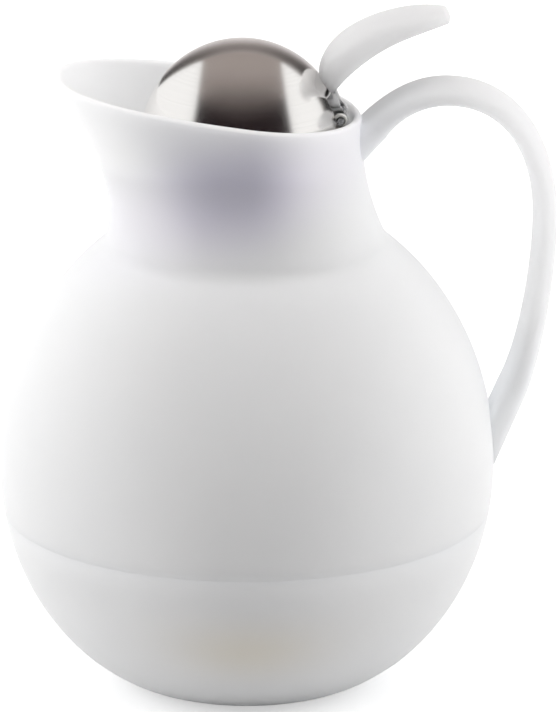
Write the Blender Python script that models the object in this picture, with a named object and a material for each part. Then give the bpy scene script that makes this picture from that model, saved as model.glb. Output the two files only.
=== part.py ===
"""Thermal carafe: a frosted ball jug with a glass flask, a lift-out closure and a sprung steel lid.

Lengths below are millimetres; meshes are scaled to metres when they are made.
Z is up, the spout points to -X, the handle is at +X, and the jug stands on Z = 0.
"""

import math

import bmesh
import bpy
from mathutils import Matrix, Vector
from mathutils.geometry import interpolate_bezier

MM = 0.001
GAP = 0.3

# Ball of the jug: a superellipse of revolution with different lower and upper heights
BALL_RADIUS = 83.0
BALL_CENTRE_Z = 75.5
BALL_LOWER = 85.0
BALL_UPPER = 92.5
LOWER_POWER = 2.1
UPPER_POWER = 2.0
WALL = 2.6
SEAM_Z = 59.0

# Lower shell: its base, and the lap that stands up inside the upper shell with a seal in its groove
BASE_Z = 0.6
BASE_RADIUS = 36.5
BASE_CORNER = 43.5
BASE_TURN_Z = 11.0
BOWL_FLOOR_Z = 4.6
BOWL_FLOOR_RADIUS = 32.0
BOWL_FLOOR_RISE = (45.0, 7.2)
BOWL_INSIDE_Z = (14.0, 53.0)
LAP_CLEARANCE = 0.7
LAP_WALL = 2.2
LAP_Z = (55.5, 66.0)
LAP_LEAD = 0.5
GROOVE_Z = (61.2, 63.4)
GROOVE_DEPTH = 1.0
SEAM_SEAL_BULGE = 0.5
SEAM_SEAL_EASE = 0.3
PAD_RADIUS = 31.0
PAD_THICK = 1.9
PAD_EASE = (0.6, 0.5)
PAD_CLEARANCE = 0.4

# Neck and collar: front, back and side edges run from the crease on the ball up to the rim
COLLAR_FRONT = ((47.0, 151.7), (42.8, 169.0), (50.0, 186.0), (63.6, 207.2))
COLLAR_BACK = ((47.0, 151.7), (42.0, 162.5), (38.6, 172.0), (38.1, 193.4))
COLLAR_SIDE = ((47.0, 151.7), (42.3, 165.0), (39.6, 180.0), (40.4, 199.0))
SPOUT_POWER = 2.35
CREASE_EASE = 2.6
COLLAR_STEPS = (0.15, 0.27, 0.4, 0.55, 0.7, 0.85, 1.0)
COLLAR_EASE_STEP = 0.06
INNER_CREASE_STEP = 0.05
INNER_BALL_TOP_Z = 149.0
SHELL_COLUMNS = 48
RIM_RISE = 1.3
RIM_ROUND = ((0.2, 0.75), (0.5, 1.0), (0.8, 0.75))
FLOOR_Z = 183.0
FLOOR_THICK = 2.5
FLOOR_HOLE = 25.0

# Flask: two glass bottles, one inside the other, that meet at the lip, with what carries them
FLASK_OUTER = 75.0
FLASK_OUTER_HEIGHTS = (67.0, 84.0)
FLASK_INNER = 66.0
FLASK_INNER_HEIGHTS = (58.0, 75.0)
FLASK_PIP = ((0.0, 5.4), (2.2, 6.0), (3.6, 8.2))
FLASK_SHOULDER = (4.0, 5.0)
FLASK_COLUMNS = 28
GLASS = 2.0
FLASK_NECK_OUTER = 30.0
FLASK_NECK_INNER = 25.0
LIP_Z = 175.4
LIP_TOP_Z = 177.8
LIP_EASE = 1.0
SPACER_TILT = math.radians(-38.0)
SPACER_RADIUS = 4.5
SPACER_THICK = 3.8
CUSHION_RADII = (26.0, 20.0, 14.0, 8.0)
GASKET_INNER = 25.2
GASKET_SKIRT = 2.1
GASKET_SKIRT_Z = 174.4

# Closure: a plug with a seal groove, a flange, a valve seat and two ears for the hinge pin
PLUG_RADIUS = 20.5
PLUG_BOTTOM_Z = 160.5
PLUG_LEAD = (1.0, 1.5)
PLUG_GROOVE_DEPTH = 1.9
PLUG_GROOVE_Z = (169.4, 174.6)
PLUG_EASE = 0.6
PLUG_SEAL_CLEARANCE = 0.4
PLUG_SEAL_LEAD = (0.8, 1.0)
PLUG_SEAL_DIP = 0.9
FLANGE_GASKET = (26.0, 31.0)
BORE_RADIUS = 15.0
FLANGE_RADIUS = 34.3
FLANGE_Z = 184.6
FLANGE_TOP_Z = 186.6
SEAT_RADIUS = 18.5
SEAT_Z = 190.2
PIN_X = 31.0
PIN_Z = 194.5
PIN_RADIUS = 1.2
PIN_HALF = 9.3
EAR_INNER = 6.6
EAR_OUTER = 8.8
EAR_RADIUS = 2.3
EAR_HEEL = (1.9, 2.0)
EAR_SINK = 0.8

# Lid: steel dome, the liner that carries it, and the valve seal in the liner's tube
DOME_X = -1.5
DOME_Z = 186.1
DOME_RADIUS = 33.7
DOME_WALL = 0.8
DOME_EDGE_Z = 187.1
DOME_SLOT = (10.0, 202.5)
DOME_SLOT_CLEARANCE = 0.9
LINER_WALL = 2.2
LINER_LIFT = 1.0
LINER_SLOT = (18.0, 201.8)
LINER_EAR_SLOT = (24.0, 197.8)
TUBE_RADIUS = 17.0
TUBE_BOTTOM_Z = 194.0
TUBE_CLEARANCE = 1.0
VALVE_RADIUS = 20.5
VALVE_TOP_Z = 193.7
VALVE_PLUG_TOP_Z = 197.0
VALVE_PLUG_CLEARANCE = 0.4
VALVE_EASE = 0.5
CUT_REACH = (40.0, 180.0)
CUT_HALF = 12.0

# Lever: upper and lower edges seen from the side, its width from root to tip, and its root round the pin
LEVER_TOP = ((24.0, 209.2), (25.2, 220.6), (41.2, 231.4), (67.0, 230.6))
LEVER_BOTTOM = ((29.6, 203.0), (34.8, 211.6), (46.6, 222.0), (67.8, 226.8))
LEVER_ROOT_WIDTH = 18.6
LEVER_WIDTH = 24.2
LEVER_STATIONS = 12
LEVER_SIDES = 16
LEVER_WIDEST = 0.4
LEVER_TIP = 0.76
LEVER_TIP_TAPER = 0.8
LEVER_ROUNDING = (0.7, 0.5)
ROOT_OUTLINE = (
    (-2.2, 10.1),
    (-3.0, 10.1),
    (-2.3, 7.0),
    (-6.7, 6.8),
    (-6.7, 1.9),
    (-2.4, 1.9),
    (-1.6, 0.0),
    (1.6, 0.0),
    (2.4, 1.4),
    (-0.5, 6.1),
)
KNUCKLE_RADIUS = 2.8
WINDOW_HALF = 3.3
WINDOW_LOW = (26.4, 188.0)
WINDOW_TOP_Z = 198.4

# Handle: middle line through four knots, each with its two Bezier arms
HANDLE_KNOTS = (
    ((42.5, 190.9), (47.0, 196.0), (55.0, 202.7), (66.4, 202.7)),
    ((66.4, 202.7), (86.8, 202.7), (99.2, 185.0), (99.2, 160.0)),
    ((99.2, 160.0), (99.2, 140.0), (94.6, 113.0), (88.7, 100.0)),
)
HANDLE_THICK = 8.0
HANDLE_THICK_ENDS = 10.4
HANDLE_WIDTH = 22.0
HANDLE_WIDTH_ENDS = 18.0
HANDLE_POWER = 2.5
HANDLE_STEPS = 8
HANDLE_SIDES = 16
HANDLE_SEAT_SHARES = (1.0, 0.66, 0.33)
HANDLE_SEAT_REACH = 40.0

# Return spring on the pin
SPRING_TURNS = 4
SPRING_POINTS = 10
SPRING_RADIUS = 2.05
SPRING_WIRE = 0.35
SPRING_HALF = 2.6
SPRING_LEGS = (2.9, 7.0)


def remove_everything():
    for obj in list(bpy.data.objects):
        bpy.data.objects.remove(obj, do_unlink=True)


def make_material(name, colour, roughness, metallic=0.0):
    material = bpy.data.materials.new(name)
    material.use_nodes = True
    surface = material.node_tree.nodes["Principled BSDF"]
    surface.inputs["Base Color"].default_value = (*colour, 1.0)
    surface.inputs["Roughness"].default_value = roughness
    surface.inputs["Metallic"].default_value = metallic
    material.diffuse_color = (*colour, 1.0)
    return material


def make_axis(name, place, parent=None):
    """An empty that marks a joint; place is in millimetres in the jug's frame."""
    axis = bpy.data.objects.new(name, None)
    bpy.context.scene.collection.objects.link(axis)
    axis["place_mm"] = list(place)
    origin = Vector(parent["place_mm"]) if parent else Vector((0.0, 0.0, 0.0))
    axis.location = (Vector(place) - origin) * MM
    axis.parent = parent
    return axis


def make_object(bm, name, material, parent=None):
    """Turn a bmesh drawn in the jug's frame into an object whose origin is that of its parent."""
    bmesh.ops.remove_doubles(bm, verts=bm.verts, dist=0.0005)
    bmesh.ops.recalc_face_normals(bm, faces=bm.faces)
    if parent:
        bmesh.ops.translate(bm, verts=bm.verts, vec=-Vector(parent["place_mm"]))
    bm.transform(Matrix.Scale(MM, 4))
    for face in bm.faces:
        face.smooth = True
    mesh = bpy.data.meshes.new(name)
    bm.to_mesh(mesh)
    bm.free()
    mesh.materials.append(material)
    obj = bpy.data.objects.new(name, mesh)
    bpy.context.scene.collection.objects.link(obj)
    obj.parent = parent
    return obj


def combine(target, tool, operation):
    """Boolean modifier with a helper object that isn't rendered."""
    tool.hide_render = True
    tool.display_type = "WIRE"
    modifier = target.modifiers.new(tool.name, "BOOLEAN")
    modifier.object = tool
    modifier.operation = operation
    modifier.solver = "EXACT"


def turned(outline, segments, centre_x=0.0):
    """Spin an outline of (radius, height) points; it closes on itself unless both ends lie on the axis."""
    bm = bmesh.new()
    points = [bm.verts.new((radius, 0.0, height)) for radius, height in outline]
    edges = [bm.edges.new(pair) for pair in zip(points, points[1:])]
    if outline[0][0] > 0.0 or outline[-1][0] > 0.0:
        edges.append(bm.edges.new((points[-1], points[0])))
    bmesh.ops.spin(
        bm,
        geom=points + edges,
        cent=(0.0, 0.0, 0.0),
        axis=(0.0, 0.0, 1.0),
        angle=math.tau,
        steps=segments,
        use_merge=True,
    )
    bmesh.ops.remove_doubles(bm, verts=bm.verts, dist=0.0005)
    bmesh.ops.translate(bm, verts=bm.verts, vec=(centre_x, 0.0, 0.0))
    return bm


def joined_loops(loops, closed):
    """Skin a row of equal loops of points; an open row gets a cap at each end."""
    bm = bmesh.new()
    rows = [[bm.verts.new(point) for point in loop] for loop in loops]
    following = rows[1:] + rows[:1] if closed else rows[1:]
    for row, after in zip(rows, following):
        for i in range(len(row)):
            bm.faces.new((row[i - 1], row[i], after[i], after[i - 1]))
    if not closed:
        bm.faces.new(rows[0])
        bm.faces.new(reversed(rows[-1]))
    return bm


def box(low, high):
    bm = bmesh.new()
    size = Vector(high) - Vector(low)
    place = Matrix.Translation((Vector(low) + Vector(high)) / 2.0) @ Matrix.Diagonal((*size, 1.0))
    bmesh.ops.create_cube(bm, size=1.0, matrix=place)
    return bm


def pin_cylinder(radius, half_length, segments):
    """A cylinder along the hinge pin's line."""
    bm = bmesh.new()
    place = Matrix.Translation((PIN_X, 0.0, PIN_Z)) @ Matrix.Rotation(math.pi / 2.0, 4, "X")
    bmesh.ops.create_cone(
        bm,
        cap_ends=True,
        segments=segments,
        radius1=radius,
        radius2=radius,
        depth=2.0 * half_length,
        matrix=place,
    )
    return bm


def plate(outline, y_low, y_high):
    """Extrude a side outline of (x, z) points along Y."""
    return joined_loops([[(x, y, z) for x, z in outline] for y in (y_low, y_high)], closed=False)


def bezier(arms, t):
    """Point at t on a cubic curve given by two knots and their arms."""
    a, b, c, d = (Vector(arm) for arm in arms)
    s = 1.0 - t
    return a * s**3 + b * 3.0 * s * s * t + c * 3.0 * s * t * t + d * t**3


def rounded(start, corner, end, steps):
    """Points of a soft corner between two straight or curved stretches, both ends included."""
    start, corner, end = Vector(start), Vector(corner), Vector(end)
    curve = []
    for i in range(steps + 1):
        t = i / steps
        curve.append(start * (1 - t) ** 2 + corner * 2.0 * t * (1 - t) + end * t * t)
    return curve


def ball_point(angle, inset=0.0):
    """(radius, height) on the ball at an angle above its widest circle."""
    lower = angle < 0.0
    power = LOWER_POWER if lower else UPPER_POWER
    height = (BALL_LOWER if lower else BALL_UPPER) - inset
    radius = (BALL_RADIUS - inset) * math.cos(angle) ** (2.0 / power)
    rise = height * abs(math.sin(angle)) ** (2.0 / power)
    return radius, BALL_CENTRE_Z + math.copysign(rise, angle)


def ball_angle(z, inset=0.0):
    """Angle at which the ball reaches a height."""
    rise = z - BALL_CENTRE_Z
    power = LOWER_POWER if rise < 0.0 else UPPER_POWER
    height = (BALL_LOWER if rise < 0.0 else BALL_UPPER) - inset
    return math.copysign(math.asin((abs(rise) / height) ** (power / 2.0)), rise)


def ball_stretch(z_low, z_high, steps, inset=0.0):
    """Evenly turned points of the ball between two heights."""
    low, high = ball_angle(z_low, inset), ball_angle(z_high, inset)
    return [ball_point(low + (high - low) * i / steps, inset) for i in range(steps + 1)]


def collar_point(t, turn, inset=0.0):
    """Point of the collar: t runs from the crease to the rim, turn goes round from the handle side."""
    front, back = bezier(COLLAR_FRONT, t), bezier(COLLAR_BACK, t)
    half_width = bezier(COLLAR_SIDE, t)[0] - inset
    across, along = math.sin(turn), math.cos(turn)
    if along >= 0.0:
        x = (back[0] - inset) * along
        y = half_width * across
    else:
        power = 2.0 + (SPOUT_POWER - 2.0) * t
        x = -(front[0] - inset) * abs(along) ** (2.0 / power)
        y = math.copysign(half_width * abs(across) ** (2.0 / power), across)
    lean = (back[0] - inset - x) / (back[0] + front[0] - 2.0 * inset)
    return Vector((x, y, back[1] + (front[1] - back[1]) * lean))


def collar_level(z, turn, inset=0.0):
    """The t at which the collar reaches a height on one side."""
    low, high = 0.0, 1.0
    for _ in range(40):
        middle = (low + high) / 2.0
        if collar_point(middle, turn, inset)[2] < z:
            low = middle
        else:
            high = middle
    return low


def shell_section(turn):
    """Outline of the upper shell's wall on one side: from the seam up the outside and down the inside."""
    direction = Vector((math.cos(turn), math.sin(turn), 0.0))

    def on_ball(point):
        return direction * point[0] + Vector((0.0, 0.0, point[1]))

    def on_level(t, z, inset):
        point = collar_point(t, turn, inset)
        return Vector((point[0], point[1], z))

    crease = collar_point(0.0, turn)
    ball = ball_stretch(SEAM_Z, BALL_CENTRE_Z, 2)
    ball += ball_stretch(BALL_CENTRE_Z, crease[2] - CREASE_EASE, 6)[1:]
    outside = [on_ball(p) for p in ball]
    outside += rounded(outside.pop(), crease, collar_point(COLLAR_EASE_STEP, turn), 3)
    outside += [collar_point(t, turn) for t in COLLAR_STEPS]

    lift = Vector((0.0, 0.0, RIM_RISE))
    rim = [collar_point(1.0, turn, WALL * share) + lift * rise for share, rise in RIM_ROUND]

    floor = collar_level(FLOOR_Z, turn, WALL)
    bowl = [collar_point(1.0 + (floor - 1.0) * i / 3.0, turn, WALL) for i in range(3)]
    bowl.append(on_level(floor, FLOOR_Z, WALL))

    low_z = FLOOR_Z - FLOOR_THICK
    under = collar_level(low_z, turn, WALL)
    hole = [on_ball((FLOOR_HOLE, FLOOR_Z)), on_ball((FLOOR_HOLE, low_z)), on_level(under, low_z, WALL)]
    inside = [collar_point(under + (INNER_CREASE_STEP - under) * i / 3.0, turn, WALL) for i in range(1, 4)]
    inside += [on_ball(p) for p in reversed(ball_stretch(SEAM_Z, INNER_BALL_TOP_Z, 6, WALL))]
    return outside + rim + bowl + hole + inside


def upper_shell(material):
    sections = [shell_section(math.tau * i / SHELL_COLUMNS) for i in range(SHELL_COLUMNS)]
    make_object(joined_loops(sections, closed=True), "upper_shell", material)


def lap_radius():
    """Outer radius of the lap that stands up inside the upper shell."""
    return ball_point(ball_angle(SEAM_Z, WALL), WALL)[0] - LAP_CLEARANCE


def lower_shell(material):
    """Bottom bowl with a lap that stands up inside the upper shell and a recess for the foot pad."""
    edge_z = SEAM_Z - GAP
    lap = lap_radius()
    groove = lap - GROOVE_DEPTH
    recess, recess_z = PAD_RADIUS + PAD_CLEARANCE, PAD_THICK + GAP
    outside = list(reversed(ball_stretch(BASE_TURN_Z, edge_z, 5)))
    corner = rounded(outside.pop(), (BASE_CORNER, BASE_Z), (BASE_RADIUS, BASE_Z), 3)
    outline = [(0.0, BOWL_FLOOR_Z), (BOWL_FLOOR_RADIUS, BOWL_FLOOR_Z), BOWL_FLOOR_RISE]
    outline += ball_stretch(*BOWL_INSIDE_Z, 3, WALL)
    outline += [(lap - LAP_WALL, LAP_Z[0]), (lap - LAP_WALL, LAP_Z[1])]
    outline += [(lap - LAP_LEAD, LAP_Z[1]), (lap, LAP_Z[1] - 2.0 * LAP_LEAD)]
    outline += [(lap, GROOVE_Z[1]), (groove, GROOVE_Z[1]), (groove, GROOVE_Z[0]), (lap, GROOVE_Z[0])]
    outline += [(lap, edge_z), *outside, *(tuple(p) for p in corner)]
    outline += [(recess, BASE_Z), (recess, recess_z), (0.0, recess_z)]
    make_object(turned(outline, SHELL_COLUMNS), "lower_shell", material)


def seam_seal(material):
    """Ring in the lap's groove whose round outer side bears on the upper shell."""
    inner = lap_radius() - GROOVE_DEPTH + GAP
    outer = lap_radius() + SEAM_SEAL_BULGE
    edge = outer - SEAM_SEAL_EASE
    low_z, high_z = GROOVE_Z[0] + GAP, GROOVE_Z[1] - GAP
    outline = [(inner, low_z), (edge, low_z), (outer, (low_z + high_z) / 2.0)]
    outline += [(edge, high_z), (inner, high_z)]
    make_object(turned(outline, SHELL_COLUMNS), "seam_seal", material)


def foot_pad(material):
    outline = [(0.0, 0.0), (PAD_RADIUS - PAD_EASE[0], 0.0), (PAD_RADIUS, PAD_EASE[1])]
    outline += [(PAD_RADIUS, PAD_THICK), (0.0, PAD_THICK)]
    make_object(turned(outline, 36), "foot_pad", material)


def handle(material):
    path = []
    for knots in HANDLE_KNOTS:
        arms = [Vector((x, 0.0, z)) for x, z in knots]
        path += interpolate_bezier(*arms, HANDLE_STEPS)[:-1]
    path.append(Vector((HANDLE_KNOTS[-1][-1][0], 0.0, HANDLE_KNOTS[-1][-1][1])))

    loops = []
    tangents = []
    for i, place in enumerate(path):
        tangent = (path[min(i + 1, len(path) - 1)] - path[max(i - 1, 0)]).normalized()
        outward = tangent.cross(Vector((0.0, -1.0, 0.0)))
        ends = abs(2.0 * i / (len(path) - 1) - 1.0) ** 4
        thick = HANDLE_THICK + (HANDLE_THICK_ENDS - HANDLE_THICK) * ends
        width = HANDLE_WIDTH + (HANDLE_WIDTH_ENDS - HANDLE_WIDTH) * ends
        loop = []
        for k in range(HANDLE_SIDES):
            a = math.tau * k / HANDLE_SIDES
            deep = math.copysign(abs(math.cos(a)) ** (2.0 / HANDLE_POWER), math.cos(a))
            wide = math.copysign(abs(math.sin(a)) ** (2.0 / HANDLE_POWER), math.sin(a))
            loop.append(place + outward * deep * thick / 2.0 + Vector((0.0, wide * width / 2.0, 0.0)))
        loops.append(loop)
        tangents.append(tangent)

    upper_end = seat_loops(loops[0], -tangents[0], collar_depth)
    lower_end = seat_loops(loops[-1], tangents[-1], ball_depth)
    make_object(joined_loops(upper_end[::-1] + loops + lower_end, closed=False), "handle", material)


def collar_depth(point):
    """How far a point is outside the collar."""
    turn = math.atan2(point[1], point[0])
    wall = collar_point(collar_level(point[2], turn), turn)
    return math.hypot(point[0], point[1]) - math.hypot(wall[0], wall[1])


def ball_depth(point):
    """How far a point is outside the ball, measured level."""
    return math.hypot(point[0], point[1]) - ball_point(ball_angle(point[2]))[0]


def run_to_jug(point, direction, depth):
    """Move a point along a direction until it is one gap short of the jug."""
    near, far = 0.0, HANDLE_SEAT_REACH
    for _ in range(40):
        middle = (near + far) / 2.0
        if depth(point + direction * middle) > GAP:
            near = middle
        else:
            far = middle
    return point + direction * near


def seat_loops(loop, direction, depth):
    """Rings of a handle end that follows the curve of the jug, from its edge to near its middle."""
    centre = sum(loop, Vector()) / len(loop)
    rings = []
    for share in HANDLE_SEAT_SHARES:
        rings.append([run_to_jug(centre + (p - centre) * share, direction, depth) for p in loop])
    return rings


def bottle(radius, heights, neck, top_z):
    """Half outline of a round bottle, from the bottom of its axis to the top of its neck."""
    lower, upper = heights
    points = [(0.0, BALL_CENTRE_Z - lower)]
    for i in range(1, 6):
        a = math.pi / 2.0 * (i / 5.0 - 1.0)
        points.append((radius * math.cos(a), BALL_CENTRE_Z + lower * math.sin(a)))
    shoulder = math.acos((neck + FLASK_SHOULDER[0]) / radius)
    for i in range(1, 6):
        a = shoulder * i / 5.0
        points.append((radius * math.cos(a), BALL_CENTRE_Z + upper * math.sin(a)))
    meet = BALL_CENTRE_Z + upper * math.sin(math.acos(neck / radius))
    curve = rounded(points.pop(), (neck, meet), (neck, meet + FLASK_SHOULDER[1]), 2)
    return points + [tuple(p) for p in curve] + [(neck, top_z)]


def glass_inside(heights):
    """Heights of a bottle's inner face, one glass thickness in from its outer face."""
    return tuple(height - GLASS for height in heights)


def flask(glass):
    """Outer bottle with a sealing pip below, and the inner bottle with the lip that covers both."""
    outside = bottle(FLASK_OUTER, FLASK_OUTER_HEIGHTS, FLASK_NECK_OUTER, LIP_Z - GAP)
    inner_heights = glass_inside(FLASK_OUTER_HEIGHTS)
    inside = bottle(FLASK_OUTER - GLASS, inner_heights, FLASK_NECK_OUTER - GLASS, LIP_Z - GAP)
    make_object(turned([*FLASK_PIP, *outside[1:], *inside[::-1]], FLASK_COLUMNS), "flask_outer", glass)

    outside = bottle(FLASK_INNER, FLASK_INNER_HEIGHTS, FLASK_NECK_INNER, LIP_Z)
    inner_heights = glass_inside(FLASK_INNER_HEIGHTS)
    inside = bottle(FLASK_INNER - GLASS, inner_heights, FLASK_NECK_INNER - GLASS, LIP_TOP_Z - LIP_EASE)
    lip = [
        (FLASK_NECK_OUTER, LIP_Z),
        (FLASK_NECK_OUTER, LIP_TOP_Z - LIP_EASE),
        (FLASK_NECK_OUTER - LIP_EASE, LIP_TOP_Z),
        (FLASK_NECK_INNER - LIP_EASE, LIP_TOP_Z),
    ]
    make_object(turned(outside + lip + inside[::-1], FLASK_COLUMNS), "flask_inner", glass)


def flask_spacers(material):
    """Three pads that keep the glass walls apart low on the flask."""
    gap_middle = (FLASK_OUTER - GLASS + FLASK_INNER) / 2.0
    depth_middle = (FLASK_OUTER_HEIGHTS[0] - GLASS + FLASK_INNER_HEIGHTS[0]) / 2.0
    reach = gap_middle * math.cos(SPACER_TILT)
    drop = BALL_CENTRE_Z + depth_middle * math.sin(SPACER_TILT)
    for i in range(3):
        turn = math.radians(90.0 + 120.0 * i)
        stand = Matrix.Rotation(turn, 4, "Z") @ Matrix.Translation((reach, 0.0, drop))
        stand @= Matrix.Rotation(math.pi / 2.0 - SPACER_TILT, 4, "Y")
        bm = bmesh.new()
        bmesh.ops.create_cone(
            bm,
            cap_ends=True,
            segments=14,
            radius1=SPACER_RADIUS,
            radius2=SPACER_RADIUS,
            depth=SPACER_THICK,
            matrix=stand,
        )
        make_object(bm, f"flask_spacer_{i + 1}", material)


def flask_cushion(material):
    """Ring under the flask, hollowed to the curve of the glass, with room for the pip."""
    base_z = BOWL_FLOOR_Z + GAP
    outline = [(CUSHION_RADII[-1], base_z), (CUSHION_RADII[0], base_z)]
    for radius in CUSHION_RADII:
        glass_z = BALL_CENTRE_Z - FLASK_OUTER_HEIGHTS[0] * math.sqrt(1.0 - (radius / FLASK_OUTER) ** 2)
        outline.append((radius, glass_z - 2.0 * GAP))
    make_object(turned(outline, FLASK_COLUMNS), "flask_cushion", material)


def flask_gasket(material):
    """Ring on the flask's lip with a skirt round it, under the bowl's floor."""
    inner = FLASK_NECK_OUTER + GAP
    outer = inner + GASKET_SKIRT
    low_z, high_z = LIP_TOP_Z + GAP, FLOOR_Z - FLOOR_THICK - GAP
    outline = [(GASKET_INNER, low_z), (inner, low_z), (inner, GASKET_SKIRT_Z)]
    outline += [(outer, GASKET_SKIRT_Z), (outer, high_z), (GASKET_INNER, high_z)]
    make_object(turned(outline, FLASK_COLUMNS), "flask_gasket", material)


def stopper_body(material, parent):
    """Plug with a seal groove, flange, valve seat and two ears for the hinge pin."""
    groove = PLUG_RADIUS - PLUG_GROOVE_DEPTH
    groove_low, groove_high = PLUG_GROOVE_Z
    seat_edge_z = SEAT_Z - PLUG_EASE
    outline = [(BORE_RADIUS, PLUG_BOTTOM_Z), (BORE_RADIUS, seat_edge_z), (BORE_RADIUS + PLUG_EASE, SEAT_Z)]
    outline += [(SEAT_RADIUS - PLUG_EASE, SEAT_Z), (SEAT_RADIUS, seat_edge_z), (SEAT_RADIUS, FLANGE_TOP_Z)]
    outline += [(FLANGE_RADIUS - PLUG_EASE, FLANGE_TOP_Z), (FLANGE_RADIUS, FLANGE_TOP_Z - PLUG_EASE)]
    outline += [(FLANGE_RADIUS, FLANGE_Z), (PLUG_RADIUS, FLANGE_Z)]
    outline += [(PLUG_RADIUS, groove_high), (groove, groove_high)]
    outline += [(groove, groove_low), (PLUG_RADIUS, groove_low)]
    outline += [(PLUG_RADIUS, PLUG_BOTTOM_Z + PLUG_LEAD[1]), (PLUG_RADIUS - PLUG_LEAD[0], PLUG_BOTTOM_Z)]
    body = make_object(turned(outline, 32), "stopper_body", material, parent)

    foot_z = FLANGE_TOP_Z - EAR_SINK
    heel_x, heel_rise = EAR_HEEL
    ear = [(PIN_X - EAR_RADIUS, foot_z), (PIN_X + heel_x, foot_z), (PIN_X + EAR_RADIUS, foot_z + heel_rise)]
    for i in range(9):
        a = math.pi * i / 8.0
        ear.append((PIN_X + EAR_RADIUS * math.cos(a), PIN_Z + EAR_RADIUS * math.sin(a)))
    for side, (low, high) in enumerate(((-EAR_OUTER, -EAR_INNER), (EAR_INNER, EAR_OUTER))):
        tool = make_object(plate(ear, low, high), f"ear_{side}", material, parent)
        combine(body, tool, "UNION")
    bore = pin_cylinder(PIN_RADIUS + GAP, CUT_HALF, 16)
    combine(body, make_object(bore, "ear_bore", material, parent), "DIFFERENCE")


def stopper_seal(material, parent):
    """Seal in the plug's groove, with two lips that bear on the flask's neck."""
    inner = PLUG_RADIUS - PLUG_GROOVE_DEPTH + GAP
    outer = FLASK_NECK_INNER - GLASS - PLUG_SEAL_CLEARANCE
    low_z, high_z = PLUG_GROOVE_Z[0] + PLUG_SEAL_CLEARANCE, PLUG_GROOVE_Z[1] - PLUG_SEAL_CLEARANCE
    edge, lead = outer - PLUG_SEAL_LEAD[0], PLUG_SEAL_LEAD[1]
    outline = [(inner, low_z), (edge, low_z), (outer, low_z + lead)]
    outline += [(outer - PLUG_SEAL_DIP, (low_z + high_z) / 2.0), (outer, high_z - lead)]
    outline += [(edge, high_z), (inner, high_z)]
    make_object(turned(outline, FLASK_COLUMNS), "stopper_seal", material, parent)


def flange_gasket(material, parent):
    inner, outer = FLANGE_GASKET
    low_z, high_z = FLOOR_Z + GAP, FLANGE_Z - GAP
    outline = [(inner, low_z), (outer, low_z), (outer, high_z), (inner, high_z)]
    make_object(turned(outline, FLASK_COLUMNS), "flange_gasket", material, parent)


def hinge_pin(material, parent):
    make_object(pin_cylinder(PIN_RADIUS, PIN_HALF, 16), "hinge_pin", material, parent)


def return_spring(material, parent):
    """Wound wire round the pin: an upper leg against the lever, the turns, and a lower leg on the flange."""
    origin = Vector(parent["place_mm"])
    count = SPRING_TURNS * SPRING_POINTS
    middle = Vector((PIN_X, 0.0, PIN_Z))
    turns = []
    for i in range(count + 1):
        a = math.pi + math.tau * i / SPRING_POINTS
        y = -SPRING_HALF + 2.0 * SPRING_HALF * i / count
        turns.append(middle + Vector((SPRING_RADIUS * math.cos(a), y, SPRING_RADIUS * math.sin(a))))
    upper_leg, lower_leg = SPRING_LEGS
    line = [turns[0] + Vector((0.0, 0.0, upper_leg)), *turns, turns[-1] - Vector((0.0, 0.0, lower_leg))]

    apart = SPRING_POINTS // 2
    least = min((a - b).length for i, a in enumerate(line) for b in line[i + apart :])
    print(f"return_spring: least gap between its turns {least - 2.0 * SPRING_WIRE:.2f} mm")

    curve = bpy.data.curves.new("return_spring", "CURVE")
    curve.dimensions = "3D"
    curve.bevel_depth = SPRING_WIRE * MM
    curve.bevel_resolution = 1
    curve.use_fill_caps = True
    wire = curve.splines.new("POLY")
    wire.points.add(len(line) - 1)
    for point, place in zip(wire.points, line):
        point.co = (*((place - origin) * MM), 1.0)
    curve.materials.append(material)
    obj = bpy.data.objects.new("return_spring", curve)
    bpy.context.scene.collection.objects.link(obj)
    obj.parent = parent


def dome_arc(radius, low_z, steps):
    """Points of the dome's sphere from its top down to a height."""
    low = math.acos((low_z - DOME_Z) / radius)
    angles = [low * i / steps for i in range(steps + 1)]
    return [(radius * math.sin(a), DOME_Z + radius * math.cos(a)) for a in angles]


def hinge_slot(low_x, half_width, top_z):
    """Block that cuts the opening for the hinge out of the back of the lid."""
    reach_x, low_z = CUT_REACH
    return box((low_x, -half_width, low_z), (reach_x, half_width, top_z))


def lid_dome(material, parent):
    outline = dome_arc(DOME_RADIUS, DOME_EDGE_Z, 8) + dome_arc(DOME_RADIUS - DOME_WALL, DOME_EDGE_Z, 7)[::-1]
    dome = make_object(turned(outline, 40, DOME_X), "lid_dome", material, parent)
    slot_x, slot_top = DOME_SLOT
    slot = hinge_slot(slot_x, EAR_OUTER + DOME_SLOT_CLEARANCE, slot_top)
    combine(dome, make_object(slot, "dome_slot", material, parent), "DIFFERENCE")


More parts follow.
